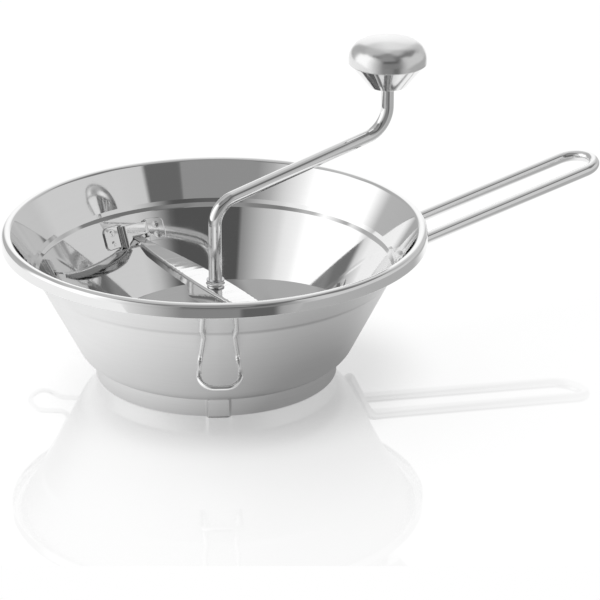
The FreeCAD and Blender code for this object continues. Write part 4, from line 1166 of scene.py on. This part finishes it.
class MILL_OT_crossbar(bpy.types.Operator):
    """Press the leaf-shaped crossbar with its flanges, tongues and neck"""

    bl_idname = "mill.crossbar"
    bl_label = "Crossbar"
    bl_options = {"REGISTER", "UNDO"}

    def execute(self, context):
        scene = context.scene
        bridge = millimetres(scene.mill_bridge)
        crank = millimetres(scene.mill_crank)
        steel_sheet = require_finishes()["mirror"]
        bar = self.channel(bridge, steel_sheet)
        bore = crank.radius + bridge.rod_play
        low, high = bridge.top - CUTTER_HALF, bridge.top + CUTTER_HALF
        cutter = ring_of("neck_cutter", [(0.0, low), (bore, low), (bore, high), (0.0, high)], steel_sheet)
        shaped_by(bar, "BOOLEAN", object=cutter, operation="DIFFERENCE", solver="EXACT")
        bpy.data.objects.remove(cutter)
        neck_top = bridge.top + bridge.neck_rise
        under, over = bridge.top - bridge.sheet + OVERLAP, bridge.top + OVERLAP
        neck = ring_of("crossbar_neck", rounded([
            (bore, under, 0),
            (bridge.neck_radius + NECK_SPREAD_BELOW, under, 0),
            (bridge.neck_radius + NECK_SPREAD_ABOVE, over, 0),
            (bridge.neck_radius, over, NECK_FOOT_ROUND),
            (bridge.neck_radius, neck_top, NECK_EDGE),
            (bore, neck_top, NECK_BORE_EDGE),
        ]), steel_sheet)
        whole = merged("crossbar_leaf", bar, neck)
        whole.data.transform(Matrix.Rotation(math.radians(bridge.azimuth), 4, "Z"))
        soften(whole.data, SHEET_SHARP)
        finish_piece(whole, "bridge", "polished_steel", "crossbar")
        return {"FINISHED"}

    def channel(self, bridge, material):
        """The channel, lofted along its length, with the two tongues."""
        bulge = bridge.half_width - bridge.tip_half_width
        bend = (bridge.reach ** 2 + bulge ** 2) / (2 * bulge)
        steps = [bridge.reach * step / CHANNEL_STEPS for step in range(CHANNEL_STEPS + 1)]
        fine = [bridge.guard_reach - FINE_BEFORE + step * FINE_STEP for step in range(FINE_STEPS)]
        half_line = sorted(set(steps + fine))
        stations = [-s for s in reversed(half_line[1:])] + half_line
        points = []
        for s in stations:
            half = bridge.half_width - bend + math.sqrt(bend ** 2 - s ** 2)
            points += [(s, across, bridge.top - down) for across, down in self.section(bridge, half, abs(s))]
        size_of = len(points) // len(stations)
        faces = [
            (row * size_of + col, row * size_of + (col + 1) % size_of,
             (row + 1) * size_of + (col + 1) % size_of, (row + 1) * size_of + col)
            for row in range(len(stations) - 1) for col in range(size_of)
        ]
        last = (len(stations) - 1) * size_of
        faces += [tuple(range(size_of)), tuple(last + col for col in range(size_of))]
        bar = solid("crossbar_channel", points, faces, (material,), SHEET_SHARP)
        tongues = []
        for side in (-1, 1):
            root, tip = side * (bridge.reach - TONGUE_ROOT), side * bridge.tongue_reach
            corners = rounded([
                (root, -bridge.tongue_half, 0), (tip, -bridge.tongue_half, TONGUE_CORNER),
                (tip, bridge.tongue_half, TONGUE_CORNER), (root, bridge.tongue_half, 0)])
            tongues.append(block(
                "tongue", corners, bridge.top - bridge.sheet + OVERLAP, bridge.top - OVERLAP,
                material, TONGUE_EDGE))
        return merged("crossbar_sheet", bar, *tongues)

    def section(self, bridge, half, away):
        """The channel's section at a distance from the middle, as (across, down) points."""
        sheet, bend = bridge.sheet, bridge.bar_bend
        deep = bridge.flange + (bridge.guard_depth - bridge.flange) * (
            1.0 - smooth_step((away - bridge.guard_reach + GUARD_FADE) / GUARD_FADE))
        tip = smooth_step((away - bridge.reach + TIP_FADE) / TIP_FADE)
        deep -= tip * (bridge.flange - bridge.tip_flange)
        inner_bend = bend - sheet * INNER_BEND_SHARE
        return rounded([
            (-half, deep, FLANGE_EDGE), (-half, 0, bend), (half, 0, bend), (half, deep, FLANGE_EDGE),
            (half - sheet, deep, FLANGE_EDGE), (half - sheet, sheet, inner_bend),
            (sheet - half, sheet, inner_bend), (sheet - half, deep, FLANGE_EDGE),
        ], CHANNEL_ARC_STEP)


# Facets of the blade round the rod and across it; edges of the blade and of its hub.
BLADE_ROWS = 96
BLADE_COLUMNS = 40
BLADE_EDGE = 0.2
HUB_EDGE = 0.4


class MILL_OT_blade(bpy.types.Operator):
    """Bend the pressing blade and turn its hub"""

    bl_idname = "mill.blade"
    bl_label = "Blade and hub"
    bl_options = {"REGISTER", "UNDO"}

    def execute(self, context):
        scene = context.scene
        finishes = require_finishes()
        blade = millimetres(scene.mill_blade)
        wall = the_wall()
        rows, columns = BLADE_ROWS, BLADE_COLUMNS
        points = []
        for layer in (0.0, blade.sheet):
            for row in range(rows + 1):
                azimuth = blade.lead + (blade.trail - blade.lead) * row / rows
                rise = 1.0 - row / rows
                rim = blade.low + (blade.high - blade.low) * rise
                inner = blade.low + (blade.high_inner - blade.low) * rise
                reach = wall.free(rim - blade.sheet) - blade.wall_gap
                for column in range(columns + 1):
                    across = column / columns
                    radius = blade.inner_radius + (reach - blade.inner_radius) * across
                    points.append(polar(radius, azimuth, inner + (rim - inner) * across - layer))
        wide = columns + 1
        top = grid_faces(rows + 1, wide)
        count = (rows + 1) * wide
        under = [tuple(count + index for index in reversed(face)) for face in top]
        edge = [*range(wide), *(row * wide + columns for row in range(1, rows + 1))]
        edge += [rows * wide + column for column in range(columns - 1, -1, -1)]
        edge += [row * wide for row in range(rows - 1, 0, -1)]
        sides = [
            (start, after, count + after, count + start) for start, after in zip(edge, edge[1:] + edge[:1])]
        sheet = solid("blade_sheet", points, top + under + sides, (finishes["mirror"],), SHEET_SHARP)
        bevelled(sheet, BLADE_EDGE, BENT_SHARP)
        soften(sheet.data, SHEET_SHARP)
        finish_piece(sheet, "crank", "polished_steel", "press_blade")
        rod = millimetres(scene.mill_crank).radius
        hub = ring_of("hub_sleeve", rounded([
            (rod, blade.hub_bottom, 0), (blade.hub_radius, blade.hub_bottom, HUB_EDGE),
            (blade.hub_radius, blade.hub_top, HUB_EDGE), (rod, blade.hub_top, 0),
        ]), finishes["plate_round"])
        finish_piece(hub, "crank", "satin_steel", "blade_hub")
        return {"FINISHED"}


# Directions of the two hooks, in degrees, the facets of their wire and its bends, and how
# many times wider the bend is where a hook leaves the wall.
HOOKS = ("front", -90.0), ("rear", 150.0)
HOOK_SIDES = 24
HOOK_BEND_STEPS = 10
LEAVING_BEND_TIMES = 2


class MILL_OT_wires(bpy.types.Operator):
    """Bend the wire handle and the two hooks"""

    bl_idname = "mill.wires"
    bl_label = "Handle and hooks"
    bl_options = {"REGISTER", "UNDO"}

    def execute(self, context):
        wires = millimetres(context.scene.mill_wires)
        polish = require_finishes()["mirror"]
        handle = bent_rod(
            "handle_rod", turned(mirrored(self.handle_side(wires)), wires.handle_azimuth),
            [wires.handle_bend, wires.handle_half_gap, wires.handle_half_gap, wires.handle_bend],
            wires.handle_rod, polish)
        finish_piece(handle, ROOT_BODY, "polished_steel", "wire_handle")
        leaving = wires.hook_bend * LEAVING_BEND_TIMES
        bends = [wires.hook_bend] * 3 + [leaving, wires.hook_nose_bend]
        for name, azimuth in HOOKS:
            hook = bent_rod(
                name + "_hook_wire", turned(mirrored(self.hook_side(wires)), azimuth),
                bends + bends[::-1], wires.hook_wire, polish, HOOK_SIDES, HOOK_BEND_STEPS)
            finish_piece(hook, ROOT_BODY, "polished_steel", name + "_hook")
        return {"FINISHED"}

    def handle_side(self, wires):
        """Corners of one side of the handle: up the wall, then out."""
        wall = the_wall()
        off_wall = wires.handle_rod / math.cos(math.atan(wall.slope))
        half = wires.handle_half_gap
        foot, start = (
            math.sqrt((wall.outer(height) + off_wall) ** 2 - half ** 2)
            for height in (wires.handle_end_height, wires.handle_wall_height))
        slope = math.tan(math.radians(wires.handle_rise))
        tip = wires.handle_wall_height + (wires.handle_reach - start) * slope
        return [
            Vector((foot, -half, wires.handle_end_height)),
            Vector((start, -half, wires.handle_wall_height)),
            Vector((wires.handle_reach, -half, tip)),
        ]

    def hook_side(self, wires):
        """Corners of one side of a hook: down the wall, then out to the nose."""
        wall = the_wall()

        def on_wall(radius, slope, half, height):
            clear = radius + (wires.hook_wire + wires.seat_gap) / math.cos(math.atan(slope))
            return Vector((math.sqrt(clear ** 2 - half ** 2), half, height))

        ledge = wall.bowl.ledge_height
        spread = ledge + wires.hook_spread
        droop = math.radians(wires.hook_droop)
        nose = wires.hook_half_width
        return [
            on_wall(wall.upper(wires.hook_top), wall.upper_slope, wires.hook_top_half, wires.hook_top),
            on_wall(wall.upper(spread), wall.upper_slope, wires.hook_spread_half, spread),
            on_wall(wall.upper(ledge), wall.upper_slope, wires.hook_pinch_half, ledge),
            on_wall(wall.outer(wires.hook_leave), wall.slope, wires.hook_leave_half, wires.hook_leave),
            Vector((wires.hook_reach, nose, wires.hook_level)),
            Vector((
                wires.hook_reach + nose * math.cos(droop), nose,
                wires.hook_level - nose * math.sin(droop))),
        ]


# Facets of the crank rod and of its bends, overlap of its turned end and that end's edge.
CRANK_SIDES = 48
CRANK_BEND_STEPS = 40
SPIGOT_ROOT = 1.0
SPIGOT_EDGE = 0.4


class MILL_OT_crank(bpy.types.Operator):
    """Bend the crank rod"""

    bl_idname = "mill.crank"
    bl_label = "Crank rod"
    bl_options = {"REGISTER", "UNDO"}

    def execute(self, context):
        crank = millimetres(context.scene.mill_crank)
        polish = require_finishes()["mirror"]
        upper = crank.lower_corner + crank.reach * math.tan(math.radians(crank.rise))
        shoulder = upper + crank.post
        axis = knob_axis()
        rod = bent_rod("crank_bend", [
            (0, 0, crank.bottom), (0, 0, crank.lower_corner), (*axis, upper), (*axis, shoulder),
        ], [crank.lower_bend, crank.upper_bend], crank.radius, polish, CRANK_SIDES, CRANK_BEND_STEPS)
        root, tip = shoulder - SPIGOT_ROOT, shoulder + crank.spigot_length
        spigot = ring_of("spigot", rounded([
            (0, root, 0), (crank.spigot_radius, root, 0),
            (crank.spigot_radius, tip, SPIGOT_EDGE), (0, tip, 0)]), polish, axis, CRANK_SIDES)
        whole = merged("crank_rod_bent", rod, spigot)
        soften(whole.data)
        finish_piece(whole, "crank", "polished_steel", "crank_rod")
        return {"FINISHED"}


# Facets of the coil in one turn and round its wire.
COIL_STEPS = 40
COIL_SIDES = 16


def coil_tree():
    """A round wire wound into a coil."""
    tree, inputs = geometry_tree("Coil", (
        ("Radius", "Float"), ("Wire radius", "Float"), ("Height", "Float"), ("Bottom", "Float"),
        ("Turns", "Float"), ("Steel", "Material")))
    line = grow(tree, "GeometryNodeCurveSpiral", {
        "Resolution": COIL_STEPS, "Rotations": inputs["Turns"], "Start Radius": inputs["Radius"],
        "End Radius": inputs["Radius"], "Height": inputs["Height"],
    }).outputs[0]
    lift = grow(tree, "ShaderNodeCombineXYZ", {"Z": inputs["Bottom"]}).outputs[0]
    lifted = grow(tree, "GeometryNodeSetPosition", {"Geometry": line, "Offset": lift}).outputs[0]
    section = grow(tree, "GeometryNodeCurvePrimitiveCircle", {
        "Resolution": COIL_SIDES, "Radius": inputs["Wire radius"],
    }).outputs["Curve"]
    wire = grow(tree, "GeometryNodeCurveToMesh", {
        "Curve": lifted, "Profile Curve": section, "Fill Caps": True,
    }).outputs[0]
    close_tree(tree, wire, inputs["Steel"])
    return tree


class MILL_OT_spring(bpy.types.Operator):
    """Wind the pressure spring"""

    bl_idname = "mill.spring"
    bl_label = "Pressure spring"
    bl_options = {"REGISTER", "UNDO"}

    def execute(self, context):
        bridge = context.scene.mill_bridge
        coil = grown("spring_coil", bpy.data.meshes.new("coil_base"), coil_tree(), {
            "Radius": bridge.spring_radius, "Wire radius": bridge.spring_wire,
            "Height": bridge.spring_top - bridge.spring_bottom, "Bottom": bridge.spring_bottom,
            "Turns": bridge.spring_turns, "Steel": require_finishes()["spring"],
        })
        outward(coil.data)
        soften(coil.data)
        finish_piece(coil, "bridge", "spring_steel", "pressure_spring")
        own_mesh(coil)
        return {"FINISHED"}


# The knob's gap between dome and cone and round its sleeve, and its roundings: the dome's
# edge, then the cone's hole, foot, upper edge and inner foot, and degrees of the cone's
# roundings for each facet. Facets of the dome's crown and of its rounded edge.
KNOB_GAP = 0.1
DOME_EDGE = 0.35
CONE_HOLE_EDGE = 0.2
CONE_FOOT_ROUND = 1.6
CONE_TOP_EDGE = 0.3
CONE_INNER_ROUND = 0.8
CONE_ARC_STEP = 10.0
CROWN_STEPS = 24
CORNER_STEPS = 14


class MILL_OT_knob(bpy.types.Operator):
    """Spin the knob's dome and the cone under it"""

    bl_idname = "mill.knob"
    bl_label = "Knob"
    bl_options = {"REGISTER", "UNDO"}

    def execute(self, context):
        finishes = require_finishes()
        knob = millimetres(context.scene.mill_knob)
        centre = knob_axis()
        outside = self.dome_line(knob, 0.0)
        inside = self.dome_line(knob, knob.wall)
        edge = knob.widest - knob.drop
        outline = rounded(
            [(*point, 0) for point in outside]
            + [(knob.radius, edge, DOME_EDGE), (knob.radius - knob.wall, edge, DOME_EDGE)]
            + [(*point, 0) for point in reversed(inside)])
        dome = ring_of("dome_cap", outline, finishes["dome"], centre, knob.steps, SHEET_SHARP)
        finish_piece(dome, "knob", "knob_satin", "knob_dome")
        top = edge - KNOB_GAP
        hole = knob.sleeve_radius + KNOB_GAP
        cone = ring_of("knob_flare", rounded([
            (hole, knob.bottom, CONE_HOLE_EDGE), (knob.cone_bottom, knob.bottom, CONE_FOOT_ROUND),
            (knob.cone_top, top, CONE_TOP_EDGE), (knob.cone_top - knob.wall, top, CONE_HOLE_EDGE),
            (knob.cone_bottom - knob.wall / 2, knob.bottom + knob.wall, CONE_INNER_ROUND),
            (hole, knob.bottom + knob.wall, CONE_HOLE_EDGE),
        ], CONE_ARC_STEP), finishes["knob_mirror"], centre, knob.steps, SHEET_SHARP)
        finish_piece(cone, "knob", "polished_steel", "knob_cone")
        return {"FINISHED"}

    def dome_line(self, knob, inset):
        """The dome's section from its pole to its widest place."""
        corner, rise = knob.corner, knob.rise
        middle = knob.radius - corner
        crown = (middle ** 2 + rise ** 2 - corner ** 2) / (2 * (rise - corner))
        lean = math.degrees(math.atan2(crown - rise, middle))
        line = arc((0.0, knob.widest + rise - crown), crown - inset, 90, lean, CROWN_STEPS)
        return line + arc((middle, knob.widest), corner - inset, lean, 0, CORNER_STEPS)[1:]


# The pieces that keep the frame's own shape, with their finishes.
SMALL_PARTS = {
    "spring_washer": "plate_round", "spring_seat": "plate_round", "hub_pin": "plate",
    "retaining_ring": "spring", "knob_clip": "spring", "knob_sleeve": "dome",
}


class MILL_OT_small_parts(bpy.types.Operator):
    """Give the washers, pin, clips and sleeve their finishes"""

    bl_idname = "mill.small_parts"
    bl_label = "Small parts"
    bl_options = {"REGISTER", "UNDO"}

    def execute(self, context):
        finishes = require_finishes()
        for node, finish in SMALL_PARTS.items():
            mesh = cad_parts[node].data
            mesh.materials.clear()
            mesh.materials.append(finishes[finish])
        return {"FINISHED"}


# ---- stage ----

# The studio round the object, in bands from the ground up. Each band has the elevation at
# which it begins, half the height over which it blends with the band below, and its
# brightness at azimuths from the camera's side, positive to the right. Angles in degrees.
LEFT_FADE = (-66, 1.3), (-60, 1.1), (-50, 0.97), (-45, 0.8), (-34, 0.62)
STUDIO = (
    (-90, 1.0, (
        (-180, 1.1), (-168, 1.0), (-158, 1.0), (-122, 1.1), (-112, 1.3), *LEFT_FADE,
        (-17.5, 0.3), (-16, 0.28), (14, 0.28), (16, 0.14), (33, 0.14), (37, 0.42),
        (52, 0.61), (60, 0.73), (120, 0.73), (130, 0.65), (160, 0.65), (168, 1.0), (180, 1.1),
    )),
    (-10, 5.0, (
        (-180, 1.2), (-165, 1.1), (-156, 0.5), (-120, 0.55), (-108, 1.3), *LEFT_FADE,
        (-17.5, 0.3), (-16, 0.25), (33, 0.25), (43, 0.42), (50, 0.6), (60, 0.73),
        (120, 0.73), (130, 0.65), (158, 0.65), (166, 1.1), (180, 1.2),
    )),
    (22, 3.0, (
        (-180, 1.2), (-165, 1.1), (-156, 0.5), (-120, 0.5), (-106, 1.3), *LEFT_FADE,
        (-17.5, 0.28), (-16.5, 0.1), (30, 0.1), (34, 0.14), (43, 0.4), (50, 0.6),
        (60, 0.73), (110, 0.73), (125, 0.5), (145, 0.65), (158, 0.75), (166, 1.1), (180, 1.2),
    )),
    (35, 1.5, (
        (-180, 1.0), (-150, 0.5), (-106, 0.5), (-92, 1.3), (-68, 1.3), (-60, 1.08), (-48, 0.8), (-38, 0.5),
        (-28, 0.33), (24, 0.33), (25.5, 0.16), (48, 0.16), (50.5, 0.7), (70, 0.72), (84, 0.24), (122, 0.24),
        (140, 0.65), (158, 0.85), (180, 1.0),
    )),
    (46, 2.0, (
        (-180, 0.95), (-150, 0.6), (-78, 0.58), (-70, 0.36), (-60, 0.24), (-33, 0.24), (-26, 0.33),
        (20, 0.33), (30, 0.2), (100, 0.2), (120, 0.34), (140, 0.65), (160, 0.95), (180, 0.95),
    )),
    (62, 6.0, (
        (-180, 0.8), (-140, 0.62), (-60, 0.56), (-45, 0.3), (30, 0.3), (60, 0.56), (140, 0.6), (180, 0.8),
    )),
)
BRIGHTEST = 2.0
WHITE = 1.0, 1.0, 1.0, 1.0


def round_about(tree, azimuth, stops):
    """The brightness at an azimuth, on straight lines between the stops."""
    place = ramp(tree, azimuth, (-180.0, 180.0), (0.0, 1.0))
    colours = grow(tree, "ShaderNodeValToRGB", {"Fac": place})
    elements = colours.color_ramp.elements
    while len(elements) < len(stops):
        elements.new(1.0)
    for element, (stop, brightness) in zip(elements, stops):
        element.position = (stop + 180.0) / 360.0
        element.color = (*[brightness / BRIGHTEST] * 3, 1.0)
    return maths(tree, "MULTIPLY", colours.outputs["Color"], BRIGHTEST)


def make_studio(world, turn):
    """A white background for the camera, and the bands of the studio for everything else."""
    world.use_nodes = True
    tree = world.node_tree
    tree.nodes.clear()
    direction = grow(tree, "ShaderNodeTexCoord").outputs["Generated"]
    turned_round = grow(tree, "ShaderNodeVectorRotate", {
        "Vector": direction, "Angle": turn}, rotation_type="Z_AXIS").outputs[0]
    unit = grow(tree, "ShaderNodeVectorMath", {0: turned_round}, operation="NORMALIZE").outputs["Vector"]
    parts = grow(tree, "ShaderNodeSeparateXYZ", {"Vector": unit}).outputs
    back = maths(tree, "MULTIPLY", parts["Y"], -1.0)
    azimuth = maths(tree, "DEGREES", maths(tree, "ARCTAN2", parts["X"], back))
    elevation = maths(tree, "DEGREES", maths(tree, "ARCSINE", parts["Z"]))
    light = round_about(tree, azimuth, STUDIO[0][2])
    for begins, blend, stops in STUDIO[1:]:
        inside = ramp(tree, elevation, (begins - blend, begins + blend), (0.0, 1.0), "SMOOTHSTEP")
        light = mixed(tree, inside, light, round_about(tree, azimuth, stops))
    seen = grow(tree, "ShaderNodeLightPath").outputs["Is Camera Ray"]
    strength = mixed(tree, seen, light, 1.0)
    background = grow(tree, "ShaderNodeBackground", {"Color": WHITE, "Strength": strength})
    grow(tree, "ShaderNodeOutputWorld", {"Surface": background.outputs[0]})


# What the steel sees of the floor, with painted shade in it: a painted shadow that lightens with distance
# from its darkest place, and painted shade that darkens as the floor reaches out to one side. Lengths in
# metres, each span with its two values.
SHADOW_PAINT_CENTRE = 0.045, -0.03, 0.0
SHADOW_PAINT_SPAN, SHADOW_PAINT_VALUES = (0.045, 0.155), (0.32, 1.05)
SIDE_SHADE_PAINT_DIRECTION = 0.87, -0.5, 0.0
SIDE_SHADE_PAINT_SPAN, SIDE_SHADE_PAINT_VALUES = (0.1, 0.2), (1.05, 0.5)
# What the camera sees of it: the span from the foot outwards over which the shadow fades and
# the share of it that is left, then the same for the reflection, and that one's roughness.
SHADOW_SPAN, SHADOW_LEFT = (0.085, 0.14), 0.25
SHINE_SPAN, SHINE_LEFT = (0.1, 0.27), 0.4
SHINE_ROUGHNESS = 0.02


def floor_finish(stage):
    """A white floor with the object's shadow and a faint clear reflection.

    What the steel sees of the floor has a painted shadow next to the bowl and painted shade far to the
    right.
    """
    material = bpy.data.materials.new("floor_white")
    material.use_nodes = True
    tree = material.node_tree
    tree.nodes.clear()
    path = grow(tree, "ShaderNodeLightPath").outputs
    seen = path["Is Camera Ray"]
    mirrored_ray = grow(tree, "ShaderNodeMath", {
        0: path["Is Glossy Ray"], 1: path["Is Transmission Ray"]},
        operation="ADD", use_clamp=True).outputs[0]
    place = grow(tree, "ShaderNodeTexCoord").outputs["Object"]

    def measured(operation, *others):
        places = dict(enumerate((place, *others)))
        return grow(tree, "ShaderNodeVectorMath", places, operation=operation).outputs["Value"]

    # Painted shade on the floor, seen only by glossy and transmission rays: a painted shadow next to the
    # bowl and painted shade far to the right, given as the glow's strength.
    painted_shadow = ramp(tree, measured("DISTANCE", SHADOW_PAINT_CENTRE), SHADOW_PAINT_SPAN, SHADOW_PAINT_VALUES)
    painted_side_shade = ramp(tree, measured("DOT_PRODUCT", SIDE_SHADE_PAINT_DIRECTION), SIDE_SHADE_PAINT_SPAN, SIDE_SHADE_PAINT_VALUES, "SMOOTHSTEP")
    painted_shade = maths(tree, "MINIMUM", painted_shadow, painted_side_shade)
    reach = measured("LENGTH")
    lit = grow(tree, "ShaderNodeBsdfDiffuse", {"Color": (*stage.floor_colour, 1.0)}).outputs[0]
    # The floor glows: plain white for the camera, and with the painted shadow and painted shade for the
    # steel's reflections.
    white = grow(tree, "ShaderNodeEmission", {
        "Color": WHITE, "Strength": mixed(tree, seen, painted_shade, 1.0)}).outputs[0]
    far_white = 1 - (1 - stage.floor_white) * SHADOW_LEFT
    plain = ramp(tree, reach, SHADOW_SPAN, (stage.floor_white, far_white), "SMOOTHSTEP")
    part = maths(tree, "ADD", mirrored_ray, maths(tree, "MULTIPLY", seen, plain))
    paper = grow(tree, "ShaderNodeMixShader", {0: part, 1: lit, 2: white}).outputs[0]
    shine = grow(tree, "ShaderNodeBsdfGlossy", {"Color": WHITE, "Roughness": SHINE_ROUGHNESS}).outputs[0]
    gloss = stage.floor_gloss
    fading = ramp(tree, reach, SHINE_SPAN, (gloss, gloss * SHINE_LEFT), "SMOOTHSTEP")
    whole = grow(tree, "ShaderNodeMixShader", {
        0: maths(tree, "MULTIPLY", seen, fading), 1: paper, 2: shine}).outputs[0]
    grow(tree, "ShaderNodeOutputMaterial", {"Surface": whole})
    return material


# The lamp's place, of which only the direction counts, and its width in degrees. The
# floor's half width, its depth behind the object and below it, and the camera's own sizes.
LAMP_PLACE = -0.8, 0.5, 1.2
LAMP_WIDTH = 60.0
FLOOR_HALF = 4.0
FLOOR_BACK = 6.0
FLOOR_LOWERED = 0.0002
SENSOR_WIDTH = 36.0
CLIP_END = 50.0


class MILL_OT_stage(bpy.types.Operator):
    """Set the floor, the light and the camera"""

    bl_idname = "mill.stage"
    bl_label = "Stage"
    bl_options = {"REGISTER", "UNDO"}

    def execute(self, context):
        scene = context.scene
        stage = scene.mill_stage
        round_z = Matrix.Rotation(-stage.turn, 4, "Z")
        self.floor(stage, round_z)
        scene.world = scene.world or bpy.data.worlds.new("studio")
        make_studio(scene.world, stage.turn)
        self.camera(scene, stage, round_z)
        self.lamp(scene, stage, round_z)
        scene.view_settings.view_transform = "Standard"
        return {"FINISHED"}

    def floor(self, stage, round_z):
        """A floor that reaches far back and a little way forward."""
        front, back = -stage.floor_front, FLOOR_BACK
        corners = [(-FLOOR_HALF, front), (FLOOR_HALF, front), (FLOOR_HALF, back), (-FLOOR_HALF, back)]
        mesh = bpy.data.meshes.new("floor")
        mesh.from_pydata(
            [round_z @ Vector((x, y, -FLOOR_LOWERED)) for x, y in corners], [], [(0, 1, 2, 3)])
        mesh.materials.append(floor_finish(stage))
        placed("floor", mesh)

    def camera(self, scene, stage, round_z):
        """The camera, which looks at its target from the set distance and height."""
        lens = bpy.data.cameras.new("camera")
        lens.lens = stage.lens
        lens.sensor_width = SENSOR_WIDTH
        lens.clip_end = CLIP_END
        camera = bpy.data.objects.new("camera", lens)
        scene.collection.objects.link(camera)
        back = Vector((0, -math.cos(stage.elevation), math.sin(stage.elevation))) * stage.distance
        place = Matrix.Translation(Vector(stage.target) + back)
        tilt = Matrix.Rotation(math.pi / 2 - stage.elevation, 4, "X")
        camera.matrix_world = round_z @ place @ tilt
        scene.camera = camera

    def lamp(self, scene, stage, round_z):
        """A wide soft lamp for the floor's shadow, which the steel doesn't mirror."""
        light = bpy.data.lights.new("floor_light", "SUN")
        light.angle = math.radians(LAMP_WIDTH)
        light.energy = stage.lamp_power
        lamp = bpy.data.objects.new("floor_light", light)
        scene.collection.objects.link(lamp)
        place = round_z @ Vector(LAMP_PLACE)
        lamp.location = place
        lamp.rotation_euler = (-place).to_track_quat("-Z", "Y").to_euler()
        lamp.visible_glossy = False


STEPS = (
    MILL_OT_finishes, MILL_OT_bowl, MILL_OT_sieve, MILL_OT_brackets, MILL_OT_crossbar, MILL_OT_spring,
    MILL_OT_blade, MILL_OT_wires, MILL_OT_crank, MILL_OT_knob, MILL_OT_small_parts, MILL_OT_stage,
)


class MILL_PT_panel(bpy.types.Panel):
    """The food mill's steps and sizes"""

    bl_idname = "MILL_PT_panel"
    bl_label = "Food Mill"
    bl_space_type = "VIEW_3D"
    bl_region_type = "UI"
    bl_category = "Food Mill"

    def draw(self, context):
        for step in STEPS:
            self.layout.operator(step.bl_idname)
        for name in SETTINGS:
            group = getattr(context.scene, name)
            box = self.layout.box()
            for key in group.bl_rna.properties.keys():
                if key not in ("rna_type", "name"):
                    box.prop(group, key)


SETTINGS = {
    "mill_bowl": MillBowlSizes,
    "mill_sieve": MillSieveSizes,
    "mill_bridge": MillBridgeSizes,
    "mill_blade": MillBladeSizes,
    "mill_wires": MillWireSizes,
    "mill_crank": MillCrankSizes,
    "mill_knob": MillKnobSizes,
    "mill_finish": MillFinish,
    "mill_stage": MillStage,
}


def register():
    for group in SETTINGS.values():
        bpy.utils.register_class(group)
    for step in (*STEPS, MILL_PT_panel):
        bpy.utils.register_class(step)
    for name, group in SETTINGS.items():
        setattr(bpy.types.Scene, name, PointerProperty(type=group))


def unregister():
    for name in SETTINGS:
        delattr(bpy.types.Scene, name)
    for step in (MILL_PT_panel, *reversed(STEPS)):
        bpy.utils.unregister_class(step)
    for group in reversed(SETTINGS.values()):
        bpy.utils.unregister_class(group)


def main():
    register()
    for step in STEPS:
        group, action = step.bl_idname.split(".")
        getattr(getattr(bpy.ops, group), action)()


if __name__ == "__main__":
    main()
